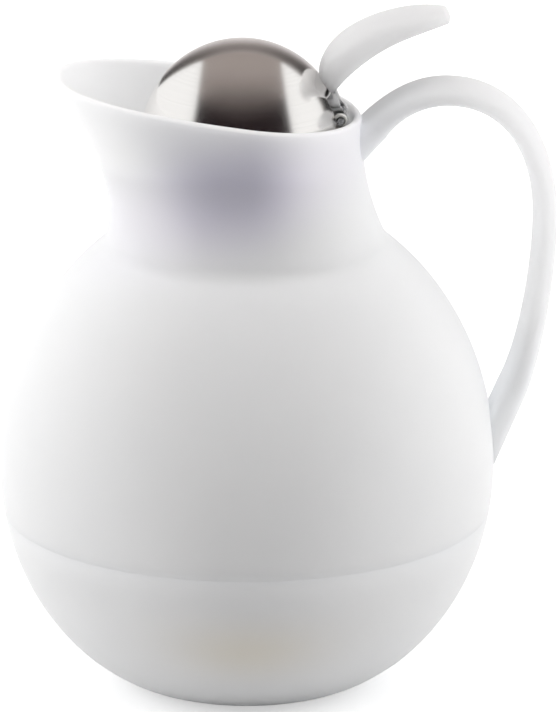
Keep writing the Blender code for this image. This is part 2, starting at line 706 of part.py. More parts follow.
def lid_carrier(material, parent):
    """Liner under the dome with a tube that holds the valve seal."""
    outer = DOME_RADIUS - DOME_WALL - GAP
    inner = outer - LINER_WALL
    edge_z = DOME_EDGE_Z + LINER_LIFT
    bore = TUBE_RADIUS - LINER_WALL
    tube_top = DOME_Z + math.sqrt(inner**2 - TUBE_RADIUS**2)
    bore_top = DOME_Z + math.sqrt(inner**2 - bore**2)
    outline = dome_arc(outer, edge_z, 7)
    below = dome_arc(inner, edge_z, 9)[::-1]
    outline += [p for p in below if p[0] > TUBE_RADIUS + TUBE_CLEARANCE]
    outline += [(TUBE_RADIUS, tube_top), (TUBE_RADIUS, TUBE_BOTTOM_Z)]
    outline += [(bore, TUBE_BOTTOM_Z), (bore, bore_top)]
    outline += [p for p in below if p[0] < bore - TUBE_CLEARANCE]
    carrier = make_object(turned(outline, FLASK_COLUMNS, DOME_X), "lid_carrier", material, parent)
    slot_x, slot_top = LINER_SLOT
    slot = hinge_slot(slot_x, EAR_INNER, slot_top)
    combine(carrier, make_object(slot, "carrier_slot", material, parent), "DIFFERENCE")
    ear_x, ear_top = LINER_EAR_SLOT
    ear_slot = hinge_slot(ear_x, EAR_OUTER + DOME_SLOT_CLEARANCE, ear_top)
    combine(carrier, make_object(ear_slot, "carrier_ear_slot", material, parent), "DIFFERENCE")


def valve_seal(material, parent):
    """Disc that closes the bore, with a plug that sits in the liner's tube."""
    low_z = SEAT_Z + GAP
    edge = VALVE_RADIUS - VALVE_EASE
    plug = TUBE_RADIUS - LINER_WALL - VALVE_PLUG_CLEARANCE
    outline = [(0.0, low_z), (edge, low_z), (VALVE_RADIUS, low_z + VALVE_EASE)]
    outline += [(VALVE_RADIUS, VALVE_TOP_Z - VALVE_EASE), (edge, VALVE_TOP_Z), (plug, VALVE_TOP_Z)]
    outline += [(plug, VALVE_PLUG_TOP_Z), (0.0, VALVE_PLUG_TOP_Z)]
    make_object(turned(outline, FLASK_COLUMNS, DOME_X), "valve_seal", material, parent)


def lever_width(t):
    """Width of the tongue: it widens from its root, then rounds off towards its tip."""
    widen = min(1.0, t / LEVER_WIDEST)
    width = LEVER_ROOT_WIDTH + (LEVER_WIDTH - LEVER_ROOT_WIDTH) * widen * widen * (3.0 - 2.0 * widen)
    if t > LEVER_TIP:
        width *= math.sqrt(1.0 - LEVER_TIP_TAPER * ((t - LEVER_TIP) / (1.0 - LEVER_TIP)) ** 2)
    return width


def lever(material, parent):
    """Curved tongue over the handle, with a root that enters the dome's slot and two knuckles on the pin."""
    deep_power, wide_power = LEVER_ROUNDING
    loops = []
    for i in range(LEVER_STATIONS + 1):
        t = i / LEVER_STATIONS
        above, below = bezier(LEVER_TOP, t), bezier(LEVER_BOTTOM, t)
        middle, half = (above + below) / 2.0, (above - below) / 2.0
        loop = []
        for k in range(LEVER_SIDES):
            a = math.tau * k / LEVER_SIDES
            deep = math.copysign(abs(math.cos(a)) ** deep_power, math.cos(a))
            wide = math.copysign(abs(math.sin(a)) ** wide_power, math.sin(a))
            place = middle + half * deep
            loop.append((place[0], wide * lever_width(t) / 2.0, place[1]))
        loops.append(loop)
    tongue = make_object(joined_loops(loops, closed=False), "lever", material, parent)

    root_half = EAR_INNER - GAP
    root = [(PIN_X + x, PIN_Z + z) for x, z in ROOT_OUTLINE]
    combine(tongue, make_object(plate(root, -root_half, root_half), "lever_root", material, parent), "UNION")
    knuckle = pin_cylinder(KNUCKLE_RADIUS, root_half, 20)
    combine(tongue, make_object(knuckle, "lever_knuckle", material, parent), "UNION")
    window_x, window_z = WINDOW_LOW
    window = box((window_x, -WINDOW_HALF, window_z), (CUT_REACH[0], WINDOW_HALF, WINDOW_TOP_Z))
    combine(tongue, make_object(window, "lever_window", material, parent), "DIFFERENCE")
    bore = pin_cylinder(PIN_RADIUS + GAP, CUT_HALF, 16)
    combine(tongue, make_object(bore, "lever_bore", material, parent), "DIFFERENCE")


def main():
    remove_everything()
    frosted = make_material("frosted polypropylene", (0.86, 0.87, 0.88), 0.45)
    white = make_material("white polypropylene", (0.80, 0.80, 0.80), 0.4)
    glass = make_material("silvered glass", (0.75, 0.77, 0.78), 0.08, 1.0)
    silicone = make_material("translucent silicone", (0.62, 0.62, 0.60), 0.6)
    steel = make_material("satin stainless steel", (0.56, 0.55, 0.53), 0.28, 1.0)
    wire = make_material("spring steel", (0.42, 0.42, 0.43), 0.3, 1.0)

    upper_shell(frosted)
    lower_shell(frosted)
    seam_seal(silicone)
    foot_pad(silicone)
    handle(frosted)
    flask(glass)
    flask_spacers(white)
    flask_cushion(silicone)
    flask_gasket(silicone)

    closure = make_axis("closure_axis", (0.0, 0.0, FLOOR_Z))
    stopper_body(white, closure)
    stopper_seal(silicone, closure)
    flange_gasket(silicone, closure)
    hinge_pin(wire, closure)
    return_spring(wire, closure)

    lid = make_axis("lid_axis", (PIN_X, 0.0, PIN_Z), closure)
    lid_dome(steel, lid)
    lid_carrier(white, lid)
    valve_seal(silicone, lid)
    lever(frosted, lid)


main()
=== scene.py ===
import math
from functools import lru_cache, partial

import bmesh
import bpy
from mathutils import Matrix, Vector
from mathutils.geometry import interpolate_bezier


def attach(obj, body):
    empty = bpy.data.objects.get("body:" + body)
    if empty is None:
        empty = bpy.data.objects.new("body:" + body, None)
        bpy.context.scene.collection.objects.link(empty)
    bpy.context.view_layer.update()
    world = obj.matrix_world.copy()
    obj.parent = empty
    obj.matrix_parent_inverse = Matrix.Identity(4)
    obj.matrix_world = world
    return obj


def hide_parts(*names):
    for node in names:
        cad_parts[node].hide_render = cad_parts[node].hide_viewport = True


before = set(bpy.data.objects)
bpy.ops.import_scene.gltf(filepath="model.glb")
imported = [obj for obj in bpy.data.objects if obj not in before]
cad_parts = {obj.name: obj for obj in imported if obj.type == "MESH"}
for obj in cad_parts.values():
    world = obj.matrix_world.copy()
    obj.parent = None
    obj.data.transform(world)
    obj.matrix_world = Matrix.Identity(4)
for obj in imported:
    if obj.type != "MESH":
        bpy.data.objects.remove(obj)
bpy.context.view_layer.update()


# Lower shell: the bottom of the ball, a bowl moulded in frosted polypropylene.
# The lap inside its edge presses up into the upper shell, with a groove for the seam seal.
# A round recess underneath takes the foot pad.  Lengths are millimetres until a piece is placed.
BALL_RADIUS = 83.0
BALL_MIDDLE_Z = 75.5
BALL_LOWER = 85.0
BALL_UPPER = 92.5
LOWER_POWER = 2.1
UPPER_POWER = 2.0
JUG_COLUMNS = 160
WALL = 2.6
SEAM_Z = 59.0
SEAM_GAP = 0.01
BASE_Z = 0.6
BASE_RADIUS = 36.5
BASE_CORNER_RADIUS = 43.5
BASE_CORNER_Z = 11.0
BASE_CORNER_STEPS = 10
RECESS_RADIUS = 31.4
RECESS_Z = 2.2
BOWL_FLOOR = ((0.0, 4.6), (32.0, 4.6), (45.0, 7.2))
BOWL_WALL_Z = (14.0, 53.0)
BOWL_STEPS = 12
BOWL_OUTER_STEPS = 26
LAP_PLAY = 0.7
LAP_WALL = 2.2
LAP_FOOT_Z = 55.5
LAP_TOP_Z = 66.0
GROOVE_Z = (61.2, 63.4)
GROOVE_DEPTH = 1.0
SHELL_EASE = 0.03
EASED_ANGLE = math.radians(40.0)
MERGE_DISTANCE = 0.0005
MM = 0.001


def ball_point(angle, inset=0.0):
    """(radius, height) on the ball at an angle above its widest circle."""
    power = LOWER_POWER if angle < 0.0 else UPPER_POWER
    height = (BALL_LOWER if angle < 0.0 else BALL_UPPER) - inset
    radius = (BALL_RADIUS - inset) * math.cos(angle) ** (2.0 / power)
    rise = height * abs(math.sin(angle)) ** (2.0 / power)
    return radius, BALL_MIDDLE_Z + math.copysign(rise, angle)


def ball_angle(z, inset=0.0):
    """Angle at which the ball reaches a height."""
    rise = z - BALL_MIDDLE_Z
    power = LOWER_POWER if rise < 0.0 else UPPER_POWER
    height = (BALL_LOWER if rise < 0.0 else BALL_UPPER) - inset
    return math.copysign(math.asin((abs(rise) / height) ** (power / 2.0)), rise)


def ball_run(low_z, high_z, steps, inset=0.0):
    """Points up the ball from one height to another."""
    low, high = ball_angle(low_z, inset), ball_angle(high_z, inset)
    return [ball_point(low + (high - low) * i / steps, inset) for i in range(steps + 1)]


def soft_corner(start, corner, end, steps):
    """Points of a rounded corner, with both ends."""
    start, corner, end = Vector(start), Vector(corner), Vector(end)
    shares = [i / steps for i in range(steps + 1)]
    return [start * (1 - t) ** 2 + corner * 2 * t * (1 - t) + end * t * t for t in shares]


def turn_on_lathe(outline, columns, middle_x=0.0, closed=True):
    """Spin (radius, height) points round the jug's axis; a closed outline off the axis is joined up."""
    bm = bmesh.new()
    points = [bm.verts.new((radius, 0.0, height)) for radius, height in outline]
    edges = [bm.edges.new(pair) for pair in zip(points, points[1:])]
    if closed and max(outline[0][0], outline[-1][0]) > 0.0:
        edges.append(bm.edges.new((points[-1], points[0])))
    bmesh.ops.spin(
        bm,
        geom=points + edges,
        cent=(0.0, 0.0, 0.0),
        axis=(0.0, 0.0, 1.0),
        angle=math.tau,
        steps=columns,
        use_merge=True,
    )
    bmesh.ops.remove_doubles(bm, verts=bm.verts, dist=MERGE_DISTANCE)
    bmesh.ops.recalc_face_normals(bm, faces=bm.faces)
    bmesh.ops.translate(bm, verts=bm.verts, vec=(middle_x, 0.0, 0.0))
    return bm


def ease_edges(bm, width, segments=3):
    """Round off every edge that is plainly sharp, as a mould or a tumbling drum does."""
    sharp = [e for e in bm.edges if len(e.link_faces) == 2 and e.calc_face_angle() > EASED_ANGLE]
    bmesh.ops.bevel(
        bm,
        geom=sharp,
        offset=width,
        affect="EDGES",
        segments=segments,
        profile=0.5,
        material=-1,
        clamp_overlap=True,
    )


def place_piece(bm, name, finish):
    """Make the object of a piece, in metres, at the origin."""
    bm.transform(Matrix.Scale(MM, 4))
    for face in bm.faces:
        face.smooth = True
    mesh = bpy.data.meshes.new(name)
    bm.to_mesh(mesh)
    bm.free()
    mesh.set_sharp_from_angle(angle=EASED_ANGLE)
    mesh.materials.append(finish)
    piece = bpy.data.objects.new(name, mesh)
    bpy.context.scene.collection.objects.link(piece)
    return piece


def linear(hex_colour):
    """sRGB hex to the linear colour that a shader socket takes."""
    shares = [int(hex_colour[i : i + 2], 16) / 255.0 for i in (0, 2, 4)]
    return (*[s / 12.92 if s <= 0.04045 else ((s + 0.055) / 1.055) ** 2.4 for s in shares], 1.0)


def new_finish(name, values):
    """A material with its node tree and its surface shader, which takes the plain values given."""
    material = bpy.data.materials.new(name)
    material.use_nodes = True
    surface = material.node_tree.nodes["Principled BSDF"]
    for socket, value in values.items():
        surface.inputs[socket].default_value = value
    return material, material.node_tree, surface


def add_node(tree, kind, links=None, values=None, **settings):
    """A node with its settings, the values of its sockets and the links into them."""
    node = tree.nodes.new(kind)
    for name, value in settings.items():
        setattr(node, name, value)
    for socket, value in (values or {}).items():
        node.inputs[socket].default_value = value
    for socket, source in (links or {}).items():
        tree.links.new(source, node.inputs[socket])
    return node


def add_noise(tree, size_mm, values):
    """The strength, from 0 to 1, of a noise of a given size all over a piece."""
    place = add_node(tree, "ShaderNodeTexCoord")
    values = {"Scale": 1.0 / (size_mm * MM), **values}
    return add_node(tree, "ShaderNodeTexNoise", {"Vector": place.outputs["Object"]}, values).outputs["Fac"]


def read_mark(tree, name):
    """The share that is noted under a name at each point of a piece."""
    return add_node(tree, "ShaderNodeAttribute", attribute_name=name).outputs["Fac"]


def mix_tones(tree, share, first, second):
    """The colour between two tones at a share; a tone is a plain colour or another node's output."""
    # A mix node keeps its colour sockets under these numbers.
    first_socket, second_socket, mixed_socket = 6, 7, 2
    mix = add_node(tree, "ShaderNodeMix", {"Factor": share}, data_type="RGBA")
    for socket, tone in ((first_socket, first), (second_socket, second)):
        if isinstance(tone, tuple):
            mix.inputs[socket].default_value = tone
        else:
            tree.links.new(tone, mix.inputs[socket])
    return mix.outputs[mixed_socket]


def map_share(tree, share, low, high):
    """The value that goes from low to high as a share goes from 0 to 1."""
    mapped = add_node(tree, "ShaderNodeMapRange", {"Value": share}, {"To Min": low, "To Max": high})
    return mapped.outputs["Result"]


def add_bump(tree, surface, relief, strength, depth_mm):
    """Let a noise raise the fine relief of a surface."""
    values = {"Strength": strength, "Distance": depth_mm * MM}
    bump = add_node(tree, "ShaderNodeBump", {"Height": relief}, values)
    tree.links.new(bump.outputs["Normal"], surface.inputs["Normal"])


# Frosted polypropylene from a spark-eroded mould: matte, with a very fine grain, and milky, so light
# sinks in, shadows stay soft and the wall's thickness varies the white by a shade in slow clouds.
# It is whitest over the ball; a painted shade makes the front and back of the neck a cooler grey, with a
# painted lilac cast round them, and a faint warm painted shade lies low on the bowl's front and back.
# By the seam the lap doubles the wall, so less light sinks in there and the joint hardly shows.
# The real grain is about 0.08 mm; it is drawn at 0.7 mm, the least that shows at this distance.
FROST_PALE = linear("F0F1F2")
FROST_DEEP = linear("E9EBED")
FROST_PAINTED_LILAC = linear("EFECFB")
FROST_CLOUD_MM = 38.0
FROST_GRAIN_MM = 0.7
FROST_BUMP = 0.12
FROST_BUMP_MM = 0.05
FROST_ROUGHNESS = (0.5, 0.64)
FROST_SPECULAR = 0.12
FROST_WALL_DEPTH_MM = 8.0
FROST_SINK = 0.9
FROST_LAP_SINK = 0.22
FROST_LAP_REACH = 3.0
PLASTIC_IOR = 1.49
EVEN_SINK = (1.0, 1.0, 1.0)
# A painted warm shade that darkens the bowl low on its front and back.
BOWL_PAINTED_SHADE = linear("E8E2D6")
BOWL_PAINTED_SHADE_Z = 31.5
BOWL_PAINTED_SHADE_REACH = 20.0
BOWL_PAINTED_SHADE_POWER = 16.0


def frosted_finish(name, depth_mm, painted_shade_colour):
    """The frosted plastic's material; light sinks into it by a depth that grows with its thickness."""
    values = {
        "IOR": PLASTIC_IOR,
        "Specular IOR Level": FROST_SPECULAR,
        "Subsurface Radius": EVEN_SINK,
        "Subsurface Scale": depth_mm * MM,
    }
    material, tree, surface = new_finish(name, values)
    cloud = add_noise(tree, FROST_CLOUD_MM, {"Detail": 2.0, "Roughness": 0.4})
    grain = add_noise(tree, FROST_GRAIN_MM, {"Detail": 1.0, "Roughness": 0.5})
    tone = mix_tones(tree, cloud, FROST_PALE, FROST_DEEP)
    # A painted lilac cast where the piece's mark puts it.
    tone = mix_tones(tree, read_mark(tree, "painted_lilac"), tone, FROST_PAINTED_LILAC)
    # A painted shade where the piece's mark puts it, in the shade colour given.
    tone = mix_tones(tree, read_mark(tree, "painted_shade"), tone, painted_shade_colour)
    tree.links.new(tone, surface.inputs["Base Color"])
    tree.links.new(map_share(tree, grain, *FROST_ROUGHNESS), surface.inputs["Roughness"])
    tree.links.new(read_mark(tree, "sink"), surface.inputs["Subsurface Weight"])
    add_bump(tree, surface, grain, FROST_BUMP, FROST_BUMP_MM)
    return material


def mark_points(piece, name, share):
    """Note a share from 0 to 1 at each point of a piece, for its material to read."""
    attribute = piece.data.attributes.new(name, "FLOAT", "POINT")
    attribute.data.foreach_set("value", [share(vert) for vert in piece.data.vertices])


def fade(start, end, share):
    """Ease from one value to another as a share goes from 0 to 1."""
    share = min(1.0, max(0.0, share))
    return start + (end - start) * share * share * (3.0 - 2.0 * share)


def wall_sink(vert):
    """How far light sinks into a shell: less by the seam, where the lap doubles the wall."""
    return fade(FROST_LAP_SINK, FROST_SINK, abs(vert.co.z / MM - SEAM_Z) / FROST_LAP_REACH)


def bowl_painted_shade(vert):
    """Share of the painted warm shade: a soft patch low on the bowl's front and its back."""
    turned = abs(vert.co.y) / max(math.hypot(vert.co.x, vert.co.y), MM)
    away = abs(vert.co.z / MM - BOWL_PAINTED_SHADE_Z) / BOWL_PAINTED_SHADE_REACH
    return fade(1.0, 0.0, away) * turned**BOWL_PAINTED_SHADE_POWER


lap = ball_point(ball_angle(SEAM_Z, WALL), WALL)[0] - LAP_PLAY
edge_z = SEAM_Z - SEAM_GAP
outside = ball_run(BASE_CORNER_Z, edge_z, BOWL_OUTER_STEPS)[::-1]
outline = [*BOWL_FLOOR, *ball_run(*BOWL_WALL_Z, BOWL_STEPS, WALL)]
outline += [(lap - LAP_WALL, LAP_FOOT_Z), (lap - LAP_WALL, LAP_TOP_Z), (lap, LAP_TOP_Z)]
outline += [(lap, GROOVE_Z[1]), (lap - GROOVE_DEPTH, GROOVE_Z[1])]
outline += [(lap - GROOVE_DEPTH, GROOVE_Z[0]), (lap, GROOVE_Z[0]), (lap, edge_z)]
corner, flat = (BASE_CORNER_RADIUS, BASE_Z), (BASE_RADIUS, BASE_Z)
outline += [*outside, *soft_corner(outside[-1], corner, flat, BASE_CORNER_STEPS)[1:]]
outline += [(RECESS_RADIUS, BASE_Z), (RECESS_RADIUS, RECESS_Z), (0.0, RECESS_Z)]
bm = turn_on_lathe(outline, JUG_COLUMNS)
ease_edges(bm, SHELL_EASE)
frosted_bowl = frosted_finish(
    "Frosted polypropylene bowl, spark-eroded mould",
    FROST_WALL_DEPTH_MM,
    BOWL_PAINTED_SHADE,
)
lower_shell = place_piece(bm, "lower_shell_moulding", frosted_bowl)
# The bowl's painted warm shade.
mark_points(lower_shell, "painted_shade", bowl_painted_shade)
mark_points(lower_shell, "sink", wall_sink)
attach(lower_shell, "carafe")
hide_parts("lower_shell")


# Foot pad: a disc of soft silicone pressed into the recess, which keeps the jug from sliding.
# Two shallow rings are moulded into its underside for grip.
PAD_RADIUS = 31.0
PAD_TOP_Z = 1.9
PAD_RINGS = ((9.0, 11.0), (20.0, 22.0))
PAD_RING_DEPTH = 0.5
PAD_EASE = 0.2
RING_COLUMNS = 96

# Silicone rubber, moulded: grey-white and soft-looking, with a dull skin that picks up fine dust.
# The dust specks are about 0.3 mm apart and are drawn at 0.9 mm.
SILICONE_CLEAN = linear("CFCFCA")
SILICONE_DUSTY = linear("BDBDB6")
SILICONE_DUST_MM = 0.9
SILICONE_ROUGHNESS = (0.5, 0.7)
silicone, tree, surface = new_finish(
    "Silicone rubber, moulded",
    {
        "IOR": 1.41,
        "Subsurface Weight": 0.3,
        "Subsurface Radius": (1.0, 1.0, 0.9),
        "Subsurface Scale": 2.0 * MM,
    },
)
dust = add_noise(tree, SILICONE_DUST_MM, {"Detail": 3.0, "Roughness": 0.6})
tree.links.new(mix_tones(tree, dust, SILICONE_CLEAN, SILICONE_DUSTY), surface.inputs["Base Color"])
tree.links.new(map_share(tree, dust, *SILICONE_ROUGHNESS), surface.inputs["Roughness"])

outline = [(0.0, 0.0)]
for inner, outer in PAD_RINGS:
    outline += [(inner, 0.0), (inner, PAD_RING_DEPTH), (outer, PAD_RING_DEPTH), (outer, 0.0)]
outline += [(PAD_RADIUS, 0.0), (PAD_RADIUS, PAD_TOP_Z), (0.0, PAD_TOP_Z)]
bm = turn_on_lathe(outline, RING_COLUMNS)
ease_edges(bm, PAD_EASE)
foot_pad = place_piece(bm, "foot_pad_disc", silicone)
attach(foot_pad, "carafe")
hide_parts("foot_pad")


# Cushion, gasket and seam seal: silicone rings, shut inside the jug, that hold the flask and close the seam.
# Their CAD shapes stay as they are and take the silicone's finish.
HIDDEN_RINGS = ("flask_cushion", "flask_gasket", "seam_seal")


def refinish(node, finish):
    """Give a CAD node, which keeps its shape, another finish."""
    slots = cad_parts[node].data.materials
    slots.clear()
    slots.append(finish)


for node in HIDDEN_RINGS:
    refinish(node, silicone)


# Flask: two blown glass bottles, one in the other, fused at the lip and silvered on the vacuum side.
# The inner one shows down the neck when the closure is out, so it gets a fine shape with a rounded lip.
FLASK_RADIUS = 66.0
FLASK_LOWER = 58.0
FLASK_UPPER = 75.0
FLASK_NECK = 25.0
FLASK_SHOULDER = 4.0
FLASK_NECK_RUN = 5.0
FLASK_STEPS = 20
FLASK_BEND_STEPS = 8
GLASS_WALL = 2.0
LIP_RADIUS = 30.0
LIP_Z = 175.4
LIP_TOP_Z = 177.8
LIP_EASE = 0.9
LIP_SEGMENTS = 4

# Silvered glass: a mirror under clear glass, slightly cool, with the faint waves of blown glass.
# The waves are about 20 mm long.
SILVER = linear("F4F5F6")
SILVER_SHADE = linear("E8EBEE")
GLASS_WAVE_MM = 20.0
GLASS_BUMP = 0.3
GLASS_BUMP_MM = 0.3
GLASS_ROUGHNESS = (0.04, 0.12)
silvered, tree, surface = new_finish(
    "Silvered glass, blown",
    {"Metallic": 1.0, "Coat Weight": 1.0, "Coat Roughness": 0.03},
)
wave = add_noise(tree, GLASS_WAVE_MM, {"Detail": 2.0})
tree.links.new(mix_tones(tree, wave, SILVER, SILVER_SHADE), surface.inputs["Base Color"])
tree.links.new(map_share(tree, wave, *GLASS_ROUGHNESS), surface.inputs["Roughness"])
add_bump(tree, surface, wave, GLASS_BUMP, GLASS_BUMP_MM)


def bottle(radius, lower, upper, neck, top_z):
    """Half outline of a round bottle, from the bottom of its axis to the top of its neck."""
    points = [(0.0, BALL_MIDDLE_Z - lower)]
    for i in range(1, FLASK_STEPS + 1):
        angle = math.pi / 2.0 * (i / FLASK_STEPS - 1.0)
        points.append((radius * math.cos(angle), BALL_MIDDLE_Z + lower * math.sin(angle)))
    shoulder = math.acos((neck + FLASK_SHOULDER) / radius)
    for i in range(1, FLASK_STEPS + 1):
        angle = shoulder * i / FLASK_STEPS
        points.append((radius * math.cos(angle), BALL_MIDDLE_Z + upper * math.sin(angle)))
    meet = BALL_MIDDLE_Z + upper * math.sin(math.acos(neck / radius))
    bend = soft_corner(points.pop(), (neck, meet), (neck, meet + FLASK_NECK_RUN), FLASK_BEND_STEPS)
    return [*points, *bend, (neck, top_z)]


outline = bottle(FLASK_RADIUS, FLASK_LOWER, FLASK_UPPER, FLASK_NECK, LIP_Z)
outline += [(LIP_RADIUS, LIP_Z), (LIP_RADIUS, LIP_TOP_Z), (FLASK_NECK - GLASS_WALL, LIP_TOP_Z)]
outline += bottle(
    FLASK_RADIUS - GLASS_WALL,
    FLASK_LOWER - GLASS_WALL,
    FLASK_UPPER - GLASS_WALL,
    FLASK_NECK - GLASS_WALL,
    LIP_TOP_Z - GLASS_WALL,
)[::-1]
bm = turn_on_lathe(outline, RING_COLUMNS)
ease_edges(bm, LIP_EASE, LIP_SEGMENTS)
flask_inner = place_piece(bm, "flask_inner_glass", silvered)
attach(flask_inner, "carafe")
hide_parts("flask_inner")
refinish("flask_outer", silvered)


# Upper shell: the ball above the seam, the waist, the flared collar with its spout and the bowl floor.
# It is one moulding of frosted polypropylene, 2.6 mm thick, with a rounded rim all the way round.
# Front, back and side edges of the collar are Bezier curves from the crease on the ball up to the rim.
COLLAR_FRONT = ((47.0, 151.7), (42.8, 169.0), (50.0, 186.0), (63.6, 207.2))
COLLAR_BACK = ((47.0, 151.7), (42.0, 162.5), (38.6, 172.0), (38.1, 193.4))
COLLAR_SIDE = ((47.0, 151.7), (42.3, 165.0), (39.6, 180.0), (40.4, 199.0))
SPOUT_POWER = 2.35
RIM_RISE = 1.3
FLOOR_Z = 183.0
FLOOR_THICK = 2.5
FLOOR_HOLE = 25.0
CREASE_DROP = 2.6
CREASE_RISE = 0.06
INNER_CREASE = 0.05
INNER_BALL_TOP_Z = 149.0
BALL_STEPS = 40
CREASE_STEPS = 8
COLLAR_STEPS = 28
RIM_STEPS = 8
BASIN_STEPS = 14
NECK_STEPS = 12
INNER_BALL_STEPS = 24
HALVINGS = 30
# Painted shade: the front and back of the neck, round a middle height, are drawn a cooler grey.
NECK_PAINTED_SHADE = linear("B6B5C1")
NECK_PAINTED_SHADE_Z = (144.0, 178.5, 213.0)
NECK_PAINTED_SHADE_POWER = 11.0
# A painted lilac cast round the neck's front and back, its middle height leaning along the jug.
NECK_PAINTED_LILAC_Z = (152.0, 176.0, 200.0)
NECK_PAINTED_LILAC_LEAN = 0.28
NECK_PAINTED_LILAC_POWER = 0.6


def bezier(arms, t):
    """Point at t on a cubic curve given by its two knots and two arms."""
    a, b, c, d = (Vector(arm) for arm in arms)
    s = 1.0 - t
    return a * s**3 + b * 3.0 * s * s * t + c * 3.0 * s * t * t + d * t**3


def collar_point(t, turn, inset=0.0):
    """Point of the collar: t runs from the crease to the rim, turn goes round from the handle side."""
    front, back = bezier(COLLAR_FRONT, t), bezier(COLLAR_BACK, t)
    half_width = bezier(COLLAR_SIDE, t)[0] - inset
    across, along = math.sin(turn), math.cos(turn)
    if along >= 0.0:
        x = (back[0] - inset) * along
        y = half_width * across
    else:
        power = 2.0 + (SPOUT_POWER - 2.0) * t
        x = -(front[0] - inset) * abs(along) ** (2.0 / power)
        y = math.copysign(half_width * abs(across) ** (2.0 / power), across)
    lean = (back[0] - inset - x) / (back[0] + front[0] - 2.0 * inset)
    return Vector((x, y, back[1] + (front[1] - back[1]) * lean))


def halve_range(low, high, short):
    """The furthest value of a range that still falls short, found by halving it again and again."""
    for _ in range(HALVINGS):
        middle = (low + high) / 2.0
        if short(middle):
            low = middle
        else:
            high = middle
    return low


def collar_level(z, turn, inset=0.0):
    """The t at which the collar reaches a height on one side."""
    return halve_range(0.0, 1.0, lambda t: collar_point(t, turn, inset)[2] < z)


def collar_run(start, end, steps, turn, inset=0.0):
    """Points up or down the collar on one side, from one t to another."""
    return [collar_point(start + (end - start) * i / steps, turn, inset) for i in range(steps + 1)]


@lru_cache(maxsize=None)
def shell_section(turn):
    """The wall's outline on one side: up the outside, over the rim, into the bowl and down the inside."""
    out = Vector((math.cos(turn), math.sin(turn), 0.0))
    up = Vector((0.0, 0.0, 1.0))
    crease = collar_point(0.0, turn)
    section = [out * r + up * z for r, z in ball_run(SEAM_Z, crease[2] - CREASE_DROP, BALL_STEPS)]
    section += soft_corner(section.pop(), crease, collar_point(CREASE_RISE, turn), CREASE_STEPS)
    section += collar_run(CREASE_RISE, 1.0, COLLAR_STEPS, turn)[1:]
    for i in range(1, RIM_STEPS):
        bend = math.pi * i / RIM_STEPS
        inset = WALL * (1.0 - math.cos(bend)) / 2.0
        section.append(collar_point(1.0, turn, inset) + up * RIM_RISE * math.sin(bend))
    section += collar_run(1.0, collar_level(FLOOR_Z, turn, WALL), BASIN_STEPS, turn, WALL)
    section += [out * FLOOR_HOLE + up * FLOOR_Z, out * FLOOR_HOLE + up * (FLOOR_Z - FLOOR_THICK)]
    under_t = collar_level(FLOOR_Z - FLOOR_THICK, turn, WALL)
    section += collar_run(under_t, INNER_CREASE, NECK_STEPS, turn, WALL)
    inner_ball = ball_run(SEAM_Z, INNER_BALL_TOP_Z, INNER_BALL_STEPS, WALL)
    section += [out * r + up * z for r, z in inner_ball[::-1]]
    return section


def grow_rings(rings, columns):
    """Extrude a circle ring by ring; each ring is a function that lays the point at a turn."""
    bm = bmesh.new()
    turn = bm.verts.layers.float.new("turn")
    for vert in bmesh.ops.create_circle(bm, segments=columns, radius=1.0)["verts"]:
        vert[turn] = math.atan2(vert.co.y, vert.co.x)
    edges = bm.edges[:]
    for number, ring in enumerate(rings):
        if number > 0:
            grown = bmesh.ops.extrude_edge_only(bm, edges=edges)["geom"]
            edges = [g for g in grown if isinstance(g, bmesh.types.BMEdge) and g.is_boundary]
        for vert in {v for edge in edges for v in edge.verts}:
            vert.co = ring(vert[turn])
    return bm


def on_cheeks(vert, heights, power, lean=0.0):
    """Share of a painted light mark on the neck's cheeks: full where they face out, at a middle height that
    may lean.
    """
    below, middle, above = heights
    height = (vert.co.z - lean * vert.co.x) / MM
    reach = (below if height < middle else above) - middle
    cheek = max(0.0, vert.normal.y * math.copysign(1.0, vert.co.y))
    return fade(1.0, 0.0, (height - middle) / reach) * cheek**power


def shell_ring(number, turn):
    """One ring of the upper shell."""
    return shell_section(turn)[number]


levels = len(shell_section(0.0))
bm = grow_rings([partial(shell_ring, number % levels) for number in range(levels + 1)], JUG_COLUMNS)
bmesh.ops.remove_doubles(bm, verts=bm.verts, dist=MERGE_DISTANCE)
bmesh.ops.recalc_face_normals(bm, faces=bm.faces)
ease_edges(bm, SHELL_EASE)
frosted_wall = frosted_finish(
    "Frosted polypropylene wall, spark-eroded mould",
    FROST_WALL_DEPTH_MM,
    NECK_PAINTED_SHADE,
)
upper_shell = place_piece(bm, "upper_shell_moulding", frosted_wall)
# The neck's painted lilac cast.
mark_points(
    upper_shell,
    "painted_lilac",
    lambda vert: on_cheeks(vert, NECK_PAINTED_LILAC_Z, NECK_PAINTED_LILAC_POWER, NECK_PAINTED_LILAC_LEAN),
)
# The neck's painted shade on its front and back.
mark_points(upper_shell, "painted_shade", lambda vert: on_cheeks(vert, NECK_PAINTED_SHADE_Z, NECK_PAINTED_SHADE_POWER))
mark_points(upper_shell, "sink", wall_sink)
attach(upper_shell, "carafe")
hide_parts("upper_shell")


